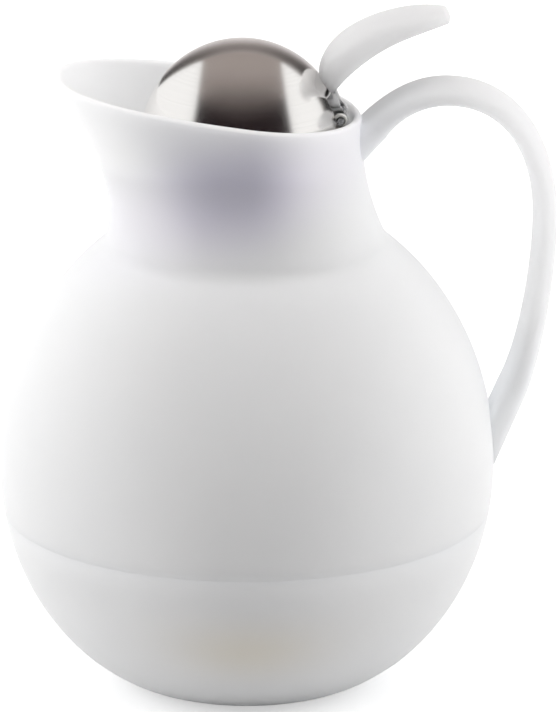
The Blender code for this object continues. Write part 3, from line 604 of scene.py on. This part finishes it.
# Handle: an open loop of frosted polypropylene, oval in section, thicker and narrower towards both ends.
# It is moulded apart, and its ends are shaped to the collar and the ball and welded on.
HANDLE_KNOTS = (
    ((42.5, 190.9), (47.0, 196.0), (55.0, 202.7), (66.4, 202.7)),
    ((66.4, 202.7), (86.8, 202.7), (99.2, 185.0), (99.2, 160.0)),
    ((99.2, 160.0), (99.2, 140.0), (94.6, 113.0), (88.7, 100.0)),
)
HANDLE_THICK = 7.99
HANDLE_THICK_ENDS = 10.4
HANDLE_WIDTH = 22.0
HANDLE_WIDTH_ENDS = 18.0
HANDLE_POWER = 2.5
HANDLE_ENDS_POWER = 4
HANDLE_STATIONS = 20
HANDLE_COLUMNS = 40
WELD_GAP = 0.06
WELD_REACH = 40.0
WELD_SHARES = (0.1, 0.5, 0.85, 1.0)
WELD_FADE = (8.0, 40.0)

# The bar's plastic is that of the shells, but solid, so light sinks further in.  A painted shade greys it,
# fading out towards the handle's welds.  It passes so much light that it is given no shadow.
FROST_BAR_DEPTH_MM = 60.0
FROST_BAR_PAINTED_SHADE = linear("BCBCBD")
HANDLE_PAINTED_SHADE = 0.62
frosted_bar = frosted_finish(
    "Frosted polypropylene bar, spark-eroded mould",
    FROST_BAR_DEPTH_MM,
    FROST_BAR_PAINTED_SHADE,
)


def collar_clearance(point):
    """How far a point stands off the collar, measured level."""
    turn = math.atan2(point[1], point[0])
    wall = collar_point(collar_level(point[2], turn), turn)
    return math.hypot(point[0], point[1]) - math.hypot(wall[0], wall[1])


def ball_clearance(point):
    """How far a point stands off the ball, measured level."""
    return math.hypot(point[0], point[1]) - ball_point(ball_angle(point[2]))[0]


def oval(turn, power):
    """A point of a unit oval whose sides grow flatter with the power."""
    deep, wide = math.cos(turn), math.sin(turn)
    share = 2.0 / power
    return math.copysign(abs(deep) ** share, deep), math.copysign(abs(wide) ** share, wide)


handle_line = []
for knots in HANDLE_KNOTS:
    arms = [Vector((x, 0.0, z)) for x, z in knots]
    handle_line += interpolate_bezier(*arms, HANDLE_STATIONS)[:-1]
handle_line.append(Vector((HANDLE_KNOTS[-1][-1][0], 0.0, HANDLE_KNOTS[-1][-1][1])))
last = len(handle_line) - 1


def handle_course(number):
    """Direction of the handle's line at a station."""
    return (handle_line[min(number + 1, last)] - handle_line[max(number - 1, 0)]).normalized()


def handle_ring(number, share, turn):
    """Point of the handle's section at a station, shrunk towards its middle by a share."""
    outward = handle_course(number).cross(Vector((0.0, -1.0, 0.0)))
    ends = abs(2.0 * number / last - 1.0) ** HANDLE_ENDS_POWER
    thick = HANDLE_THICK + (HANDLE_THICK_ENDS - HANDLE_THICK) * ends
    width = HANDLE_WIDTH + (HANDLE_WIDTH_ENDS - HANDLE_WIDTH) * ends
    deep, wide = oval(turn, HANDLE_POWER)
    side = Vector((0.0, wide * width / 2.0, 0.0))
    return handle_line[number] + (outward * deep * thick / 2.0 + side) * share


def weld_ring(number, course, clearance, share, turn):
    """Point of a handle end, run along its course until it all but touches the jug."""
    start = handle_ring(number, share, turn)
    run = halve_range(0.0, WELD_REACH, lambda run: clearance(start + course * run) > WELD_GAP)
    return start + course * run


def off_weld(vert):
    """From 0 at the welds, where the jug's wall backs the handle, to 1 where it stands free."""
    spot = Vector((vert.co.x, 0.0, vert.co.z)) / MM
    reach = min((spot - handle_line[0]).length, (spot - handle_line[-1]).length)
    return (reach - WELD_FADE[0]) / (WELD_FADE[1] - WELD_FADE[0])


first_course, last_course = -handle_course(0), handle_course(last)
rings = [partial(weld_ring, 0, first_course, collar_clearance, share) for share in WELD_SHARES]
rings += [partial(handle_ring, number, 1.0) for number in range(last + 1)]
rings += [partial(weld_ring, last, last_course, ball_clearance, share) for share in WELD_SHARES[::-1]]
bm = grow_rings(rings, HANDLE_COLUMNS)
bmesh.ops.holes_fill(bm, edges=[e for e in bm.edges if e.is_boundary])
bmesh.ops.recalc_face_normals(bm, faces=bm.faces)
handle = place_piece(bm, "handle_moulding", frosted_bar)
handle.visible_shadow = False
# Painted grey shade on the handle, fading out at the welds.
mark_points(handle, "painted_shade", lambda vert: fade(0.0, HANDLE_PAINTED_SHADE, off_weld(vert)))
mark_points(handle, "sink", lambda vert: fade(FROST_LAP_SINK, FROST_SINK, off_weld(vert)))
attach(handle, "carafe")
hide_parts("handle")


# Stopper: the plug that closes the flask, with a pouring bore, a wide flange and a raised valve seat.
# It is one moulding of plain white polypropylene; two ears at the back carry the hinge pin.
PLUG_RADIUS = 20.5
PLUG_BOTTOM_Z = 160.5
BORE_RADIUS = 15.0
FLANGE_RADIUS = 34.3
FLANGE_Z = 184.6
FLANGE_TOP_Z = 186.6
SEAT_RADIUS = 18.5
SEAT_Z = 190.2
PLUG_GROOVE = (18.6, 169.4, 174.6)
PLUG_EASE = 0.5
PIN_X = 31.0
PIN_Z = 194.5
PIN_RADIUS = 1.2
PIN_PLAY = 0.3
PIN_COLUMNS = 32
EAR_INNER = 6.6
EAR_OUTER = 8.8
EAR_RADIUS = 2.3
EAR_FOOT_Z = 185.8
EAR_BACK_INSET = 0.4
EAR_EASE = 0.2
EAR_SEGMENTS = 2

# White polypropylene, moulded: a clean, slightly warm white with a low gloss and faint flow marks.
# The flow marks are about 6 mm apart.
WHITE_CLEAN = linear("E4E3DF")
WHITE_FLOW = linear("DAD9D5")
WHITE_FLOW_MM = 6.0
WHITE_ROUGHNESS = (0.32, 0.45)
white_plastic, tree, surface = new_finish(
    "White polypropylene, moulded",
    {
        "IOR": PLASTIC_IOR,
        "Subsurface Weight": 0.2,
        "Subsurface Radius": EVEN_SINK,
        "Subsurface Scale": 1.5 * MM,
    },
)
flow = add_noise(tree, WHITE_FLOW_MM, {"Detail": 2.0, "Distortion": 0.6})
tree.links.new(mix_tones(tree, flow, WHITE_CLEAN, WHITE_FLOW), surface.inputs["Base Color"])
tree.links.new(map_share(tree, flow, *WHITE_ROUGHNESS), surface.inputs["Roughness"])
for number in (1, 2, 3):
    refinish(f"flask_spacer_{number}", white_plastic)


def ring_outline(inner, outer, low, high):
    """Outline of a plain ring, for spinning."""
    return [(inner, low), (outer, low), (outer, high), (inner, high)]


def turn_across(outline, columns):
    """Spin (radius, y) points once round the hinge pin's axis."""
    bm = turn_on_lathe(outline, columns)
    swing = Matrix.Translation((PIN_X, 0.0, PIN_Z)) @ Matrix.Rotation(-math.pi / 2.0, 4, "X")
    bm.transform(swing)
    return bm


def add_plate(bm, outline, low_y, high_y):
    """Stand a side outline of (x, z) points up as a plate between two widths."""
    face = bm.faces.new([bm.verts.new((x, low_y, z)) for x, z in outline])
    raised = bmesh.ops.extrude_face_region(bm, geom=[face])["geom"]
    points = [g for g in raised if isinstance(g, bmesh.types.BMVert)]
    bmesh.ops.translate(bm, verts=points, vec=(0.0, high_y - low_y, 0.0))


def add_mesh(bm, other):
    """Take the mesh of another bmesh into this one."""
    carrier = bpy.data.meshes.new("part of a piece")
    other.to_mesh(carrier)
    other.free()
    bm.from_mesh(carrier)
    bpy.data.meshes.remove(carrier)


groove, groove_low, groove_high = PLUG_GROOVE
outline = [(BORE_RADIUS, PLUG_BOTTOM_Z), (BORE_RADIUS, SEAT_Z), (SEAT_RADIUS, SEAT_Z)]
outline += [(SEAT_RADIUS, FLANGE_TOP_Z), (FLANGE_RADIUS, FLANGE_TOP_Z), (FLANGE_RADIUS, FLANGE_Z)]
outline += [(PLUG_RADIUS, FLANGE_Z), (PLUG_RADIUS, groove_high), (groove, groove_high)]
outline += [(groove, groove_low), (PLUG_RADIUS, groove_low), (PLUG_RADIUS, PLUG_BOTTOM_Z)]
bm = turn_on_lathe(outline, RING_COLUMNS)
ease_edges(bm, PLUG_EASE)
ears = bmesh.new()
pin_hole = PIN_RADIUS + PIN_PLAY
ear_front, ear_back = PIN_X - EAR_RADIUS, PIN_X + EAR_RADIUS - EAR_BACK_INSET
for low, high in ((-EAR_OUTER, -EAR_INNER), (EAR_INNER, EAR_OUTER)):
    leg = [(ear_front, EAR_FOOT_Z), (ear_back, EAR_FOOT_Z)]
    leg += [(ear_back, PIN_Z - pin_hole), (ear_front, PIN_Z - pin_hole)]
    add_plate(ears, leg, low, high)
    add_mesh(ears, turn_across(ring_outline(pin_hole, EAR_RADIUS, low, high), PIN_COLUMNS))
bmesh.ops.recalc_face_normals(ears, faces=ears.faces)
ease_edges(ears, EAR_EASE, EAR_SEGMENTS)
add_mesh(bm, ears)
stopper = place_piece(bm, "stopper_plug", white_plastic)
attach(stopper, "closure")
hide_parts("stopper_body")


# Stopper seal and flange gasket: moulded silicone rings.
# The seal sits in the plug's groove and closes the flask's neck with two lips.
# The gasket lies under the flange.
SEAL_INNER = 18.9
SEAL_LIPS = ((22.6, 170.8), (21.7, 172.0), (22.6, 173.2))
SEAL_SHOULDER = 21.8
SEAL_Z = (169.8, 174.2)
SEAL_EASE = 0.3
GASKET_RADII = (26.0, 31.0)
GASKET_Z = (183.3, 184.3)
GASKET_EASE = 0.25

outline = [(SEAL_INNER, SEAL_Z[0]), (SEAL_SHOULDER, SEAL_Z[0]), *SEAL_LIPS]
outline += [(SEAL_SHOULDER, SEAL_Z[1]), (SEAL_INNER, SEAL_Z[1])]
bm = turn_on_lathe(outline, RING_COLUMNS)
ease_edges(bm, SEAL_EASE)
stopper_seal = place_piece(bm, "stopper_seal_ring", silicone)
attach(stopper_seal, "closure")
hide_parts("stopper_seal")

bm = turn_on_lathe(ring_outline(*GASKET_RADII, *GASKET_Z), RING_COLUMNS)
ease_edges(bm, GASKET_EASE)
flange_gasket = place_piece(bm, "flange_gasket_ring", silicone)
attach(flange_gasket, "closure")
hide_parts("flange_gasket")


# Hinge pin: a drawn steel pin with chamfered ends, pressed through the stopper's ears.
# The lid's two knuckles turn on it.
PIN_HALF = 9.3
PIN_CHAMFER = 0.3

# Drawn spring steel: bright grey, with fine lines from the die, about 0.1 mm apart.
# They are drawn as specks of 0.4 mm, because the pin and the turns of the spring run different ways.
WIRE_BRIGHT = linear("B9BABC")
WIRE_DARK = linear("9C9DA0")
WIRE_SPECK_MM = 0.4
WIRE_ROUGHNESS = (0.2, 0.38)
wire_steel, tree, surface = new_finish("Spring steel, drawn", {"Metallic": 1.0})
specks = add_noise(tree, WIRE_SPECK_MM, {"Detail": 2.0})
tree.links.new(mix_tones(tree, specks, WIRE_BRIGHT, WIRE_DARK), surface.inputs["Base Color"])
tree.links.new(map_share(tree, specks, *WIRE_ROUGHNESS), surface.inputs["Roughness"])

bm = turn_across(ring_outline(0.0, PIN_RADIUS, -PIN_HALF, PIN_HALF), PIN_COLUMNS)
ease_edges(bm, PIN_CHAMFER)
hinge_pin = place_piece(bm, "hinge_pin_steel", wire_steel)
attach(hinge_pin, "closure")
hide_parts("hinge_pin")


# Return spring: four turns of steel wire round the pin, between the lid's knuckles.
# One leg points up to the lever's root and the other down to the flange; the spring shuts the lid.
SPRING_TURNS = 4
SPRING_POINTS = 24
SPRING_RADIUS = 2.05
SPRING_WIRE = 0.35
SPRING_HALF = 2.6
SPRING_UPPER_LEG = 2.9
SPRING_LOWER_LEG = 7.0
SPRING_ROUNDNESS = 3

coil = []
count = SPRING_TURNS * SPRING_POINTS
for i in range(count + 1):
    angle = math.pi + math.tau * i / SPRING_POINTS
    x = PIN_X + SPRING_RADIUS * math.cos(angle)
    y = SPRING_HALF * (2.0 * i / count - 1.0)
    z = PIN_Z + SPRING_RADIUS * math.sin(angle)
    coil.append(Vector((x, y, z)))
up = Vector((0.0, 0.0, 1.0))
coil = [coil[0] + up * SPRING_UPPER_LEG, *coil, coil[-1] - up * SPRING_LOWER_LEG]
curve = bpy.data.curves.new("return_spring_wire", "CURVE")
curve.dimensions = "3D"
curve.bevel_depth = SPRING_WIRE * MM
curve.bevel_resolution = SPRING_ROUNDNESS
curve.use_fill_caps = True
wire = curve.splines.new("POLY")
wire.points.add(len(coil) - 1)
for point, spot in zip(wire.points, coil):
    point.co = (*(spot * MM), 1.0)
wire.use_smooth = True
curve.materials.append(wire_steel)
return_spring = bpy.data.objects.new("return_spring_wire", curve)
bpy.context.scene.collection.objects.link(return_spring)
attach(return_spring, "closure")
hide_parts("return_spring")


# Lid carrier: a thin white liner pressed into the steel dome, with a tube below that holds the valve seal.
# It is moulded in white polypropylene, and a slot at the back lets the lever's root through.
DOME_X = -1.5
DOME_Z = 186.1
DOME_RADIUS = 33.7
DOME_WALL = 0.8
DOME_EDGE_Z = 187.1
LINER_PLAY = 0.3
LINER_WALL = 2.2
LINER_EDGE_Z = 188.1
LINER_STEPS = 24
LINER_SLOT = (6.6, 201.8)
LINER_EAR_SLOT = (9.7, 197.8)
TUBE_RADII = (14.8, 17.0)
TUBE_Z = (194.0, 212.5)
TUBE_EASE = 0.3
SLOT_FRONT_X = 10.0
SLOT_SNAP = 0.0001


def dome_arc(radius, low_z, steps):
    """Points of the dome's sphere from its top down to a height."""
    low = math.acos((low_z - DOME_Z) / radius)
    angles = [low * i / steps for i in range(steps + 1)]
    return [(radius * math.sin(a), DOME_Z + radius * math.cos(a)) for a in angles]


def cut_slot(bm, half_width, top_z):
    """Take the slot for the lever's root out of the back of a thin dome."""
    planes = (
        ((0.0, half_width, 0.0), (0.0, 1.0, 0.0)),
        ((0.0, -half_width, 0.0), (0.0, 1.0, 0.0)),
        ((0.0, 0.0, top_z), (0.0, 0.0, 1.0)),
    )
    for spot, normal in planes:
        geom = bm.verts[:] + bm.edges[:] + bm.faces[:]
        bmesh.ops.bisect_plane(bm, geom=geom, dist=SLOT_SNAP, plane_co=spot, plane_no=normal)
    slot = []
    for face in bm.faces:
        x, y, z = face.calc_center_median()
        if x > SLOT_FRONT_X and abs(y) < half_width and z < top_z:
            slot.append(face)
    bmesh.ops.delete(bm, geom=slot, context="FACES")


def thicken_inwards(bm, wall):
    """Give an open sheet, whose faces point outwards, a wall on its inside."""
    bmesh.ops.solidify(bm, geom=bm.faces[:], thickness=wall)


liner_radius = DOME_RADIUS - DOME_WALL - LINER_PLAY
liner_arc = dome_arc(liner_radius, LINER_EDGE_Z, LINER_STEPS)
bm = turn_on_lathe(liner_arc, RING_COLUMNS, DOME_X, closed=False)
cut_slot(bm, *LINER_SLOT)
cut_slot(bm, *LINER_EAR_SLOT)
thicken_inwards(bm, LINER_WALL)
tube = turn_on_lathe(ring_outline(*TUBE_RADII, *TUBE_Z), RING_COLUMNS, DOME_X)
ease_edges(tube, TUBE_EASE)
add_mesh(bm, tube)
lid_carrier = place_piece(bm, "lid_carrier_liner", white_plastic)
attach(lid_carrier, "lid")
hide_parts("lid_carrier")


# Valve seal: a moulded silicone disc that shuts the stopper's bore, with a boss pushed up into the tube.
# Its face is slightly dished, so that its edge meets the seat first.
VALVE_RADIUS = 20.5
VALVE_Z = (190.5, 193.7)
VALVE_DISH = 0.4
VALVE_DISH_RADII = (14.5, 16.5)
VALVE_BOSS_RADIUS = 14.4
VALVE_BOSS_Z = 197.0
VALVE_EASE = 0.5

outline = [(0.0, VALVE_Z[0] + VALVE_DISH), (VALVE_DISH_RADII[0], VALVE_Z[0] + VALVE_DISH)]
outline += [(VALVE_DISH_RADII[1], VALVE_Z[0]), (VALVE_RADIUS, VALVE_Z[0]), (VALVE_RADIUS, VALVE_Z[1])]
outline += [(VALVE_BOSS_RADIUS, VALVE_Z[1]), (VALVE_BOSS_RADIUS, VALVE_BOSS_Z), (0.0, VALVE_BOSS_Z)]
bm = turn_on_lathe(outline, RING_COLUMNS, DOME_X)
ease_edges(bm, VALVE_EASE)
valve_seal = place_piece(bm, "valve_seal_disc", silicone)
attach(valve_seal, "lid")
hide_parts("valve_seal")


# Lid dome: a bowl of stainless steel, deep-drawn from 0.8 mm sheet and satin polished on a spindle.
# It is pressed over the liner, and a slot is punched in its back for the lever.
DOME_SLOT = (9.7, 202.5)
DOME_STEPS = 48
DOME_COLUMNS = 160

# Stainless steel, spindle polished: fine rings round the dome's axis blur reflections up and down
# more than round it.  The polishing lines are about 0.1 mm apart and are drawn at 0.5 mm.
STEEL_BRIGHT = linear("F8F6F4")
STEEL_WORN = linear("EFEDEA")
STEEL_RING_MM = 0.5
STEEL_ROUGHNESS = (0.13, 0.2)
satin_steel, tree, surface = new_finish(
    "Stainless steel, spindle polished",
    {"Metallic": 1.0, "Anisotropic": 0.5},
)
place = add_node(tree, "ShaderNodeTexCoord")
height = add_node(tree, "ShaderNodeSeparateXYZ", {"Vector": place.outputs["Object"]})
rings = add_node(
    tree,
    "ShaderNodeTexNoise",
    {"W": height.outputs["Z"]},
    {"Scale": 1.0 / (STEEL_RING_MM * MM), "Detail": 3.0, "Roughness": 0.7},
    noise_dimensions="1D",
).outputs["Fac"]
round_axis = add_node(tree, "ShaderNodeTangent", direction_type="RADIAL", axis="Z")
tree.links.new(mix_tones(tree, rings, STEEL_BRIGHT, STEEL_WORN), surface.inputs["Base Color"])
tree.links.new(map_share(tree, rings, *STEEL_ROUGHNESS), surface.inputs["Roughness"])
tree.links.new(round_axis.outputs["Tangent"], surface.inputs["Tangent"])

bm = turn_on_lathe(dome_arc(DOME_RADIUS, DOME_EDGE_Z, DOME_STEPS), DOME_COLUMNS, DOME_X, closed=False)
cut_slot(bm, *DOME_SLOT)
thicken_inwards(bm, DOME_WALL)
lid_dome = place_piece(bm, "lid_dome_steel", satin_steel)
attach(lid_dome, "lid")
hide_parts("lid_dome")


# Lever: the thumb tongue of frosted polypropylene that arches over the handle.
# Its root goes through the dome's slot into the liner, and two knuckles turn on the hinge pin.
LEVER_TOP = ((24.0, 209.2), (25.2, 220.6), (41.2, 231.3), (67.0, 230.55))
LEVER_BOTTOM = ((28.9, 202.9), (34.8, 211.6), (46.6, 222.0), (67.8, 226.8))
LEVER_ROOT_WIDTH = 18.6
LEVER_WIDTH = 24.2
LEVER_STATIONS = 40
LEVER_COLUMNS = 40
LEVER_WIDE_BY = 0.4
LEVER_TAPER_FROM = 0.76
LEVER_TAPER = 0.8
LEVER_TIP_ROUND = 1.6
LEVER_TIP_STEPS = 6
LEVER_END = 0.972
LEVER_DEEP_POWER = 0.7
LEVER_WIDE_POWER = 0.5
LEVER_ROOT_SHARE = 0.4
LEVER_PAINTED_SHADE = 0.85
ROOT_HALF = 6.3
WINDOW_HALF = 3.3
KNUCKLE_RADIUS = 2.8
KNUCKLE_COLUMNS = 40
ROOT_EASE = 0.25
ROOT_SEGMENTS = 2
ROOT_UPPER = (
    (28.8, 204.6),
    (28.0, 204.6),
    (28.7, 201.5),
    (24.3, 201.3),
    (24.3, 198.4),
    (31.2, 198.4),
    (30.5, 200.6),
)
ROOT_CHEEK = ((24.3, 198.4), (24.3, 196.4), (28.6, 196.4), (32.4, 196.6), (31.2, 198.4))


def lever_ring(t, share, turn):
    """Point of the lever's section, t from root to tip, shrunk towards its middle by a share."""
    above, below = bezier(LEVER_TOP, t), bezier(LEVER_BOTTOM, t)
    width = fade(LEVER_ROOT_WIDTH, LEVER_WIDTH, t / LEVER_WIDE_BY)
    if t > LEVER_TAPER_FROM:
        past = (t - LEVER_TAPER_FROM) / (1.0 - LEVER_TAPER_FROM)
        width *= math.sqrt(1.0 - LEVER_TAPER * past * past)
    deep, wide = math.cos(turn), math.sin(turn)
    deep = math.copysign(abs(deep) ** LEVER_DEEP_POWER, deep)
    wide = math.copysign(abs(wide) ** LEVER_WIDE_POWER, wide)
    spot = (above + below) / 2.0 + (above - below) / 2.0 * deep * share
    return Vector((spot[0], wide * share * width / 2.0, spot[1]))


def tip_ring(step, turn):
    """Point of the rounded end: the last section draws in as it runs on."""
    bend = math.pi / 2.0 * step / (LEVER_TIP_STEPS + 1)
    course = bezier(LEVER_TOP, 1.0) - bezier(LEVER_TOP, LEVER_END)
    run = course.normalized() * LEVER_TIP_ROUND * math.sin(bend)
    return lever_ring(LEVER_END, math.cos(bend), turn) + Vector((run[0], 0.0, run[1]))


rings = [partial(lever_ring, 0.0, LEVER_ROOT_SHARE)]
rings += [partial(lever_ring, LEVER_END * i / LEVER_STATIONS, 1.0) for i in range(LEVER_STATIONS + 1)]
rings += [partial(tip_ring, step) for step in range(1, LEVER_TIP_STEPS + 1)]
bm = grow_rings(rings, LEVER_COLUMNS)
bmesh.ops.holes_fill(bm, edges=[e for e in bm.edges if e.is_boundary])
bmesh.ops.recalc_face_normals(bm, faces=bm.faces)
root = bmesh.new()
add_plate(root, ROOT_UPPER, -ROOT_HALF, ROOT_HALF)
for low, high in ((-ROOT_HALF, -WINDOW_HALF), (WINDOW_HALF, ROOT_HALF)):
    add_plate(root, ROOT_CHEEK, low, high)
    add_mesh(root, turn_across(ring_outline(pin_hole, KNUCKLE_RADIUS, low, high), KNUCKLE_COLUMNS))
bmesh.ops.recalc_face_normals(root, faces=root.faces)
ease_edges(root, ROOT_EASE, ROOT_SEGMENTS)
add_mesh(bm, root)
lever = place_piece(bm, "lever_tongue", frosted_bar)
# The lever takes the bar's painted grey shade all over.
mark_points(lever, "painted_shade", lambda vert: LEVER_PAINTED_SHADE)
mark_points(lever, "sink", lambda vert: FROST_SINK)
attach(lever, "lid")
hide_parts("lever")


# Floor: a white studio table top that keeps the jug's soft shadow.
# For the camera, metal and glass it glows a little besides, so that it ends up as white as the paper.
FLOOR_RADIUS = 14000.0
FLOOR_COLUMNS = 64
FLOOR_WHITE = linear("DCDCDC")
FLOOR_GLOW = 0.5
PLAIN_WHITE = linear("FFFFFF")


def seen_rays(tree):
    """1 for what the camera sees, straight, mirrored or through glass, and 0 for light on its way."""
    ray = add_node(tree, "ShaderNodeLightPath").outputs
    seen = ray["Is Camera Ray"]
    for kind in ("Is Glossy Ray", "Is Transmission Ray"):
        either = add_node(tree, "ShaderNodeMath", {0: seen, 1: ray[kind]}, operation="MAXIMUM")
        seen = either.outputs["Value"]
    return seen


table_top, tree, surface = new_finish(
    "Studio table top, matt white",
    {
        "Base Color": FLOOR_WHITE,
        "Roughness": 0.9,
        "Specular IOR Level": 0.0,
        "Emission Color": PLAIN_WHITE,
    },
)
tree.links.new(map_share(tree, seen_rays(tree), 0.0, FLOOR_GLOW), surface.inputs["Emission Strength"])
bm = bmesh.new()
bmesh.ops.create_circle(bm, cap_ends=True, segments=FLOOR_COLUMNS, radius=FLOOR_RADIUS)
floor = place_piece(bm, "studio_floor", table_top)


# Camera-side cloth: a dark curtain behind the camera that narrows overhead towards the back.
# The steel dome mirrors it as the dark stripe between two fields of white air, and it keeps the front of
# the ball a shade greyer.
CLOTH_RADIUS = 3200.0
CLOTH_MIDDLE_Z = 190.0
CLOTH_SPAN = (-0.05, 2.85)
CLOTH_HALF_WIDTH = 0.87
CLOTH_NARROWING = 2.15
CLOTH_FLANK = 0.4
CLOTH_FADE = (0.45, 1.9)
CLOTH_COLUMNS = 16
CLOTH_ROWS = 40
CLOTH_DARK = linear("2A2224")
CLOTH_GREY = linear("AAA19D")
cloth, tree, surface = new_finish(
    "Studio curtain, dark cloth",
    {"Roughness": 1.0, "Specular IOR Level": 0.0},
)
rise = add_node(
    tree,
    "ShaderNodeMapRange",
    {"Value": read_mark(tree, "swing")},
    {"From Min": CLOTH_FADE[0], "From Max": CLOTH_FADE[1]},
    interpolation_type="SMOOTHSTEP",
)
tone = mix_tones(tree, rise.outputs["Result"], CLOTH_DARK, CLOTH_GREY)
tree.links.new(tone, surface.inputs["Base Color"])
bm = bmesh.new()
bmesh.ops.create_grid(bm, x_segments=CLOTH_COLUMNS, y_segments=CLOTH_ROWS, size=1.0)
swing_note = bm.verts.layers.float.new("swing")
for vert in bm.verts:
    swing = CLOTH_SPAN[0] + (CLOTH_SPAN[1] - CLOTH_SPAN[0]) * (vert.co.y + 1.0) / 2.0
    vert[swing_note] = swing - CLOTH_FLANK * vert.co.x * vert.co.x
    side = vert.co.x * CLOTH_HALF_WIDTH * math.cos(swing / CLOTH_NARROWING)
    depth = math.sqrt(1.0 - side * side)
    vert.co = Vector((side, -math.cos(swing) * depth, math.sin(swing) * depth)) * CLOTH_RADIUS
bmesh.ops.translate(bm, verts=bm.verts, vec=(0.0, 0.0, CLOTH_MIDDLE_Z))
curtain = place_piece(bm, "studio_curtain", cloth)
curtain.visible_camera = False


# Backdrop card: a wide card behind the jug, square to the camera's view, pale with a dark band at its sides.
# Only mirrors show it: the dome has its pale middle at the very edge and the band as a dark line inside.
CARD_REACH = 550.0
CARD_TILT = math.radians(17.1)
CARD_SPREAD = math.radians(67.0)
CARD_NOTCH = 1.0
CARD_LEAST = 0.3
CARD_NARROWING = 4
CARD_RINGS = 26
CARD_COLUMNS = 96
CARD_HUB = 0.1
CARD_SIDES = (
    (0.0, "E8E6E6"),
    (0.36, "D8D6D6"),
    (0.55, "7A7678"),
    (0.7, "0C0A0B"),
    (0.88, "0C0A0B"),
    (1.0, "8A8886"),
)
CARD_CROWN = (
    (0.0, "E8E6E6"),
    (0.36, "DCD8D8"),
    (0.58, "B4AEAC"),
    (0.74, "8A8482"),
    (0.86, "7E7876"),
    (1.0, "9A9492"),
)
CARD_CROWN_POWER = 5.0
card_paper, tree, surface = new_finish(
    "Studio card, grey paper",
    {"Roughness": 1.0, "Specular IOR Level": 0.0},
)
bands = []
for tones in (CARD_SIDES, CARD_CROWN):
    band = add_node(tree, "ShaderNodeValToRGB", {"Fac": read_mark(tree, "spread")})
    stops = band.color_ramp.elements
    while len(stops) < len(tones):
        stops.new(1.0)
    for stop, (share, colour) in zip(stops, tones):
        stop.position = share
        stop.color = linear(colour)
    bands.append(band.outputs["Color"])
tree.links.new(mix_tones(tree, read_mark(tree, "crown"), *bands), surface.inputs["Base Color"])


def card_ring(share, turn):
    """Point of one ring of the card, before it is turned to the view; the card is notched to the left."""
    notch = CARD_NOTCH * max(0.0, -math.cos(turn)) ** CARD_NARROWING
    radius = CARD_REACH * math.tan(CARD_SPREAD * max(CARD_LEAST, 1.0 - notch) * share)
    return Vector((radius * math.cos(turn), radius * math.sin(turn), -CARD_REACH))


shares = [CARD_HUB + (1.0 - CARD_HUB) * number / CARD_RINGS for number in range(CARD_RINGS + 1)]
bm = grow_rings([partial(card_ring, share) for share in shares], CARD_COLUMNS)
spread_note = bm.verts.layers.float.new("spread")
crown_note = bm.verts.layers.float.new("crown")
turn_note = bm.verts.layers.float["turn"]
for vert in bm.verts:
    edge = card_ring(1.0, vert[turn_note])
    angle = math.atan2(math.hypot(vert.co.x, vert.co.y), CARD_REACH)
    vert[spread_note] = angle / math.atan2(math.hypot(edge.x, edge.y), CARD_REACH)
    vert[crown_note] = max(0.0, math.sin(vert[turn_note])) ** CARD_CROWN_POWER
bm.transform(Matrix.Rotation(math.pi / 2.0 - CARD_TILT, 4, "X"))
bmesh.ops.translate(bm, verts=bm.verts, vec=(0.0, 0.0, CLOTH_MIDDLE_Z))
backdrop_card = place_piece(bm, "studio_backdrop_card", card_paper)
backdrop_card.visible_camera = False
backdrop_card.visible_diffuse = False
backdrop_card.visible_shadow = False


# Soft boxes: tall flat lamps left and right of the jug, a fill lamp high in front of it, and white air.
# The air is plain white to the camera, metal and glass, and a fifth brighter as light on the rest.
# Each lamp has its place and aim in metres, its width and height, and its power in watts.
LAMPS = (
    ("left box", (-2.1, -0.35, 1.5), (0.0, -0.35, 1.5), (0.8, 3.0), 38.5),
    ("right box", (2.1, -0.35, 1.5), (0.0, -0.35, 1.5), (0.8, 3.0), 35.5),
    ("fill lamp", (0.0, -1.0, 2.4), (0.0, 0.0, 0.0), (1.8, 1.8), 24.0),
)
AIR_LIGHT = 1.2

for name, spot, aim, size, power in LAMPS:
    light = bpy.data.lights.new(name, "AREA")
    light.shape = "RECTANGLE"
    light.size, light.size_y = size
    light.energy = power
    lamp = bpy.data.objects.new(name, light)
    lamp.location = spot
    lamp.rotation_euler = (Vector(aim) - Vector(spot)).to_track_quat("-Z", "Y").to_euler()
    lamp.visible_camera = False
    lamp.visible_glossy = False
    bpy.context.scene.collection.objects.link(lamp)

world = bpy.data.worlds.new("studio air")
bpy.context.scene.world = world
world.use_nodes = True
tree = world.node_tree
air = tree.nodes["Background"]
level = map_share(tree, seen_rays(tree), AIR_LIGHT, 1.0)
air.inputs["Color"].default_value = PLAIN_WHITE
tree.links.new(level, air.inputs["Strength"])


# Camera: a long lens 2.2 m from the jug and about 17 degrees above it, as in the photograph.
# It looks at a point above the middle of the ball, a little towards the handle.
CAMERA_SPOT = Vector((0.0, -2.1127, 0.7548))
CAMERA_AIM = Vector((0.0108, 0.0, 0.1110))
CAMERA_LENS = 333.67
CAMERA_SENSOR = 36.0
CAMERA_FAR = 50.0

lens = bpy.data.cameras.new("studio camera")
lens.sensor_width = CAMERA_SENSOR
lens.lens = CAMERA_LENS
lens.clip_end = CAMERA_FAR
camera = bpy.data.objects.new("studio camera", lens)
camera.location = CAMERA_SPOT
camera.rotation_euler = (CAMERA_AIM - CAMERA_SPOT).to_track_quat("-Z", "Y").to_euler()
bpy.context.scene.collection.objects.link(camera)
bpy.context.scene.camera = camera
bpy.context.scene.view_settings.view_transform = "Standard"
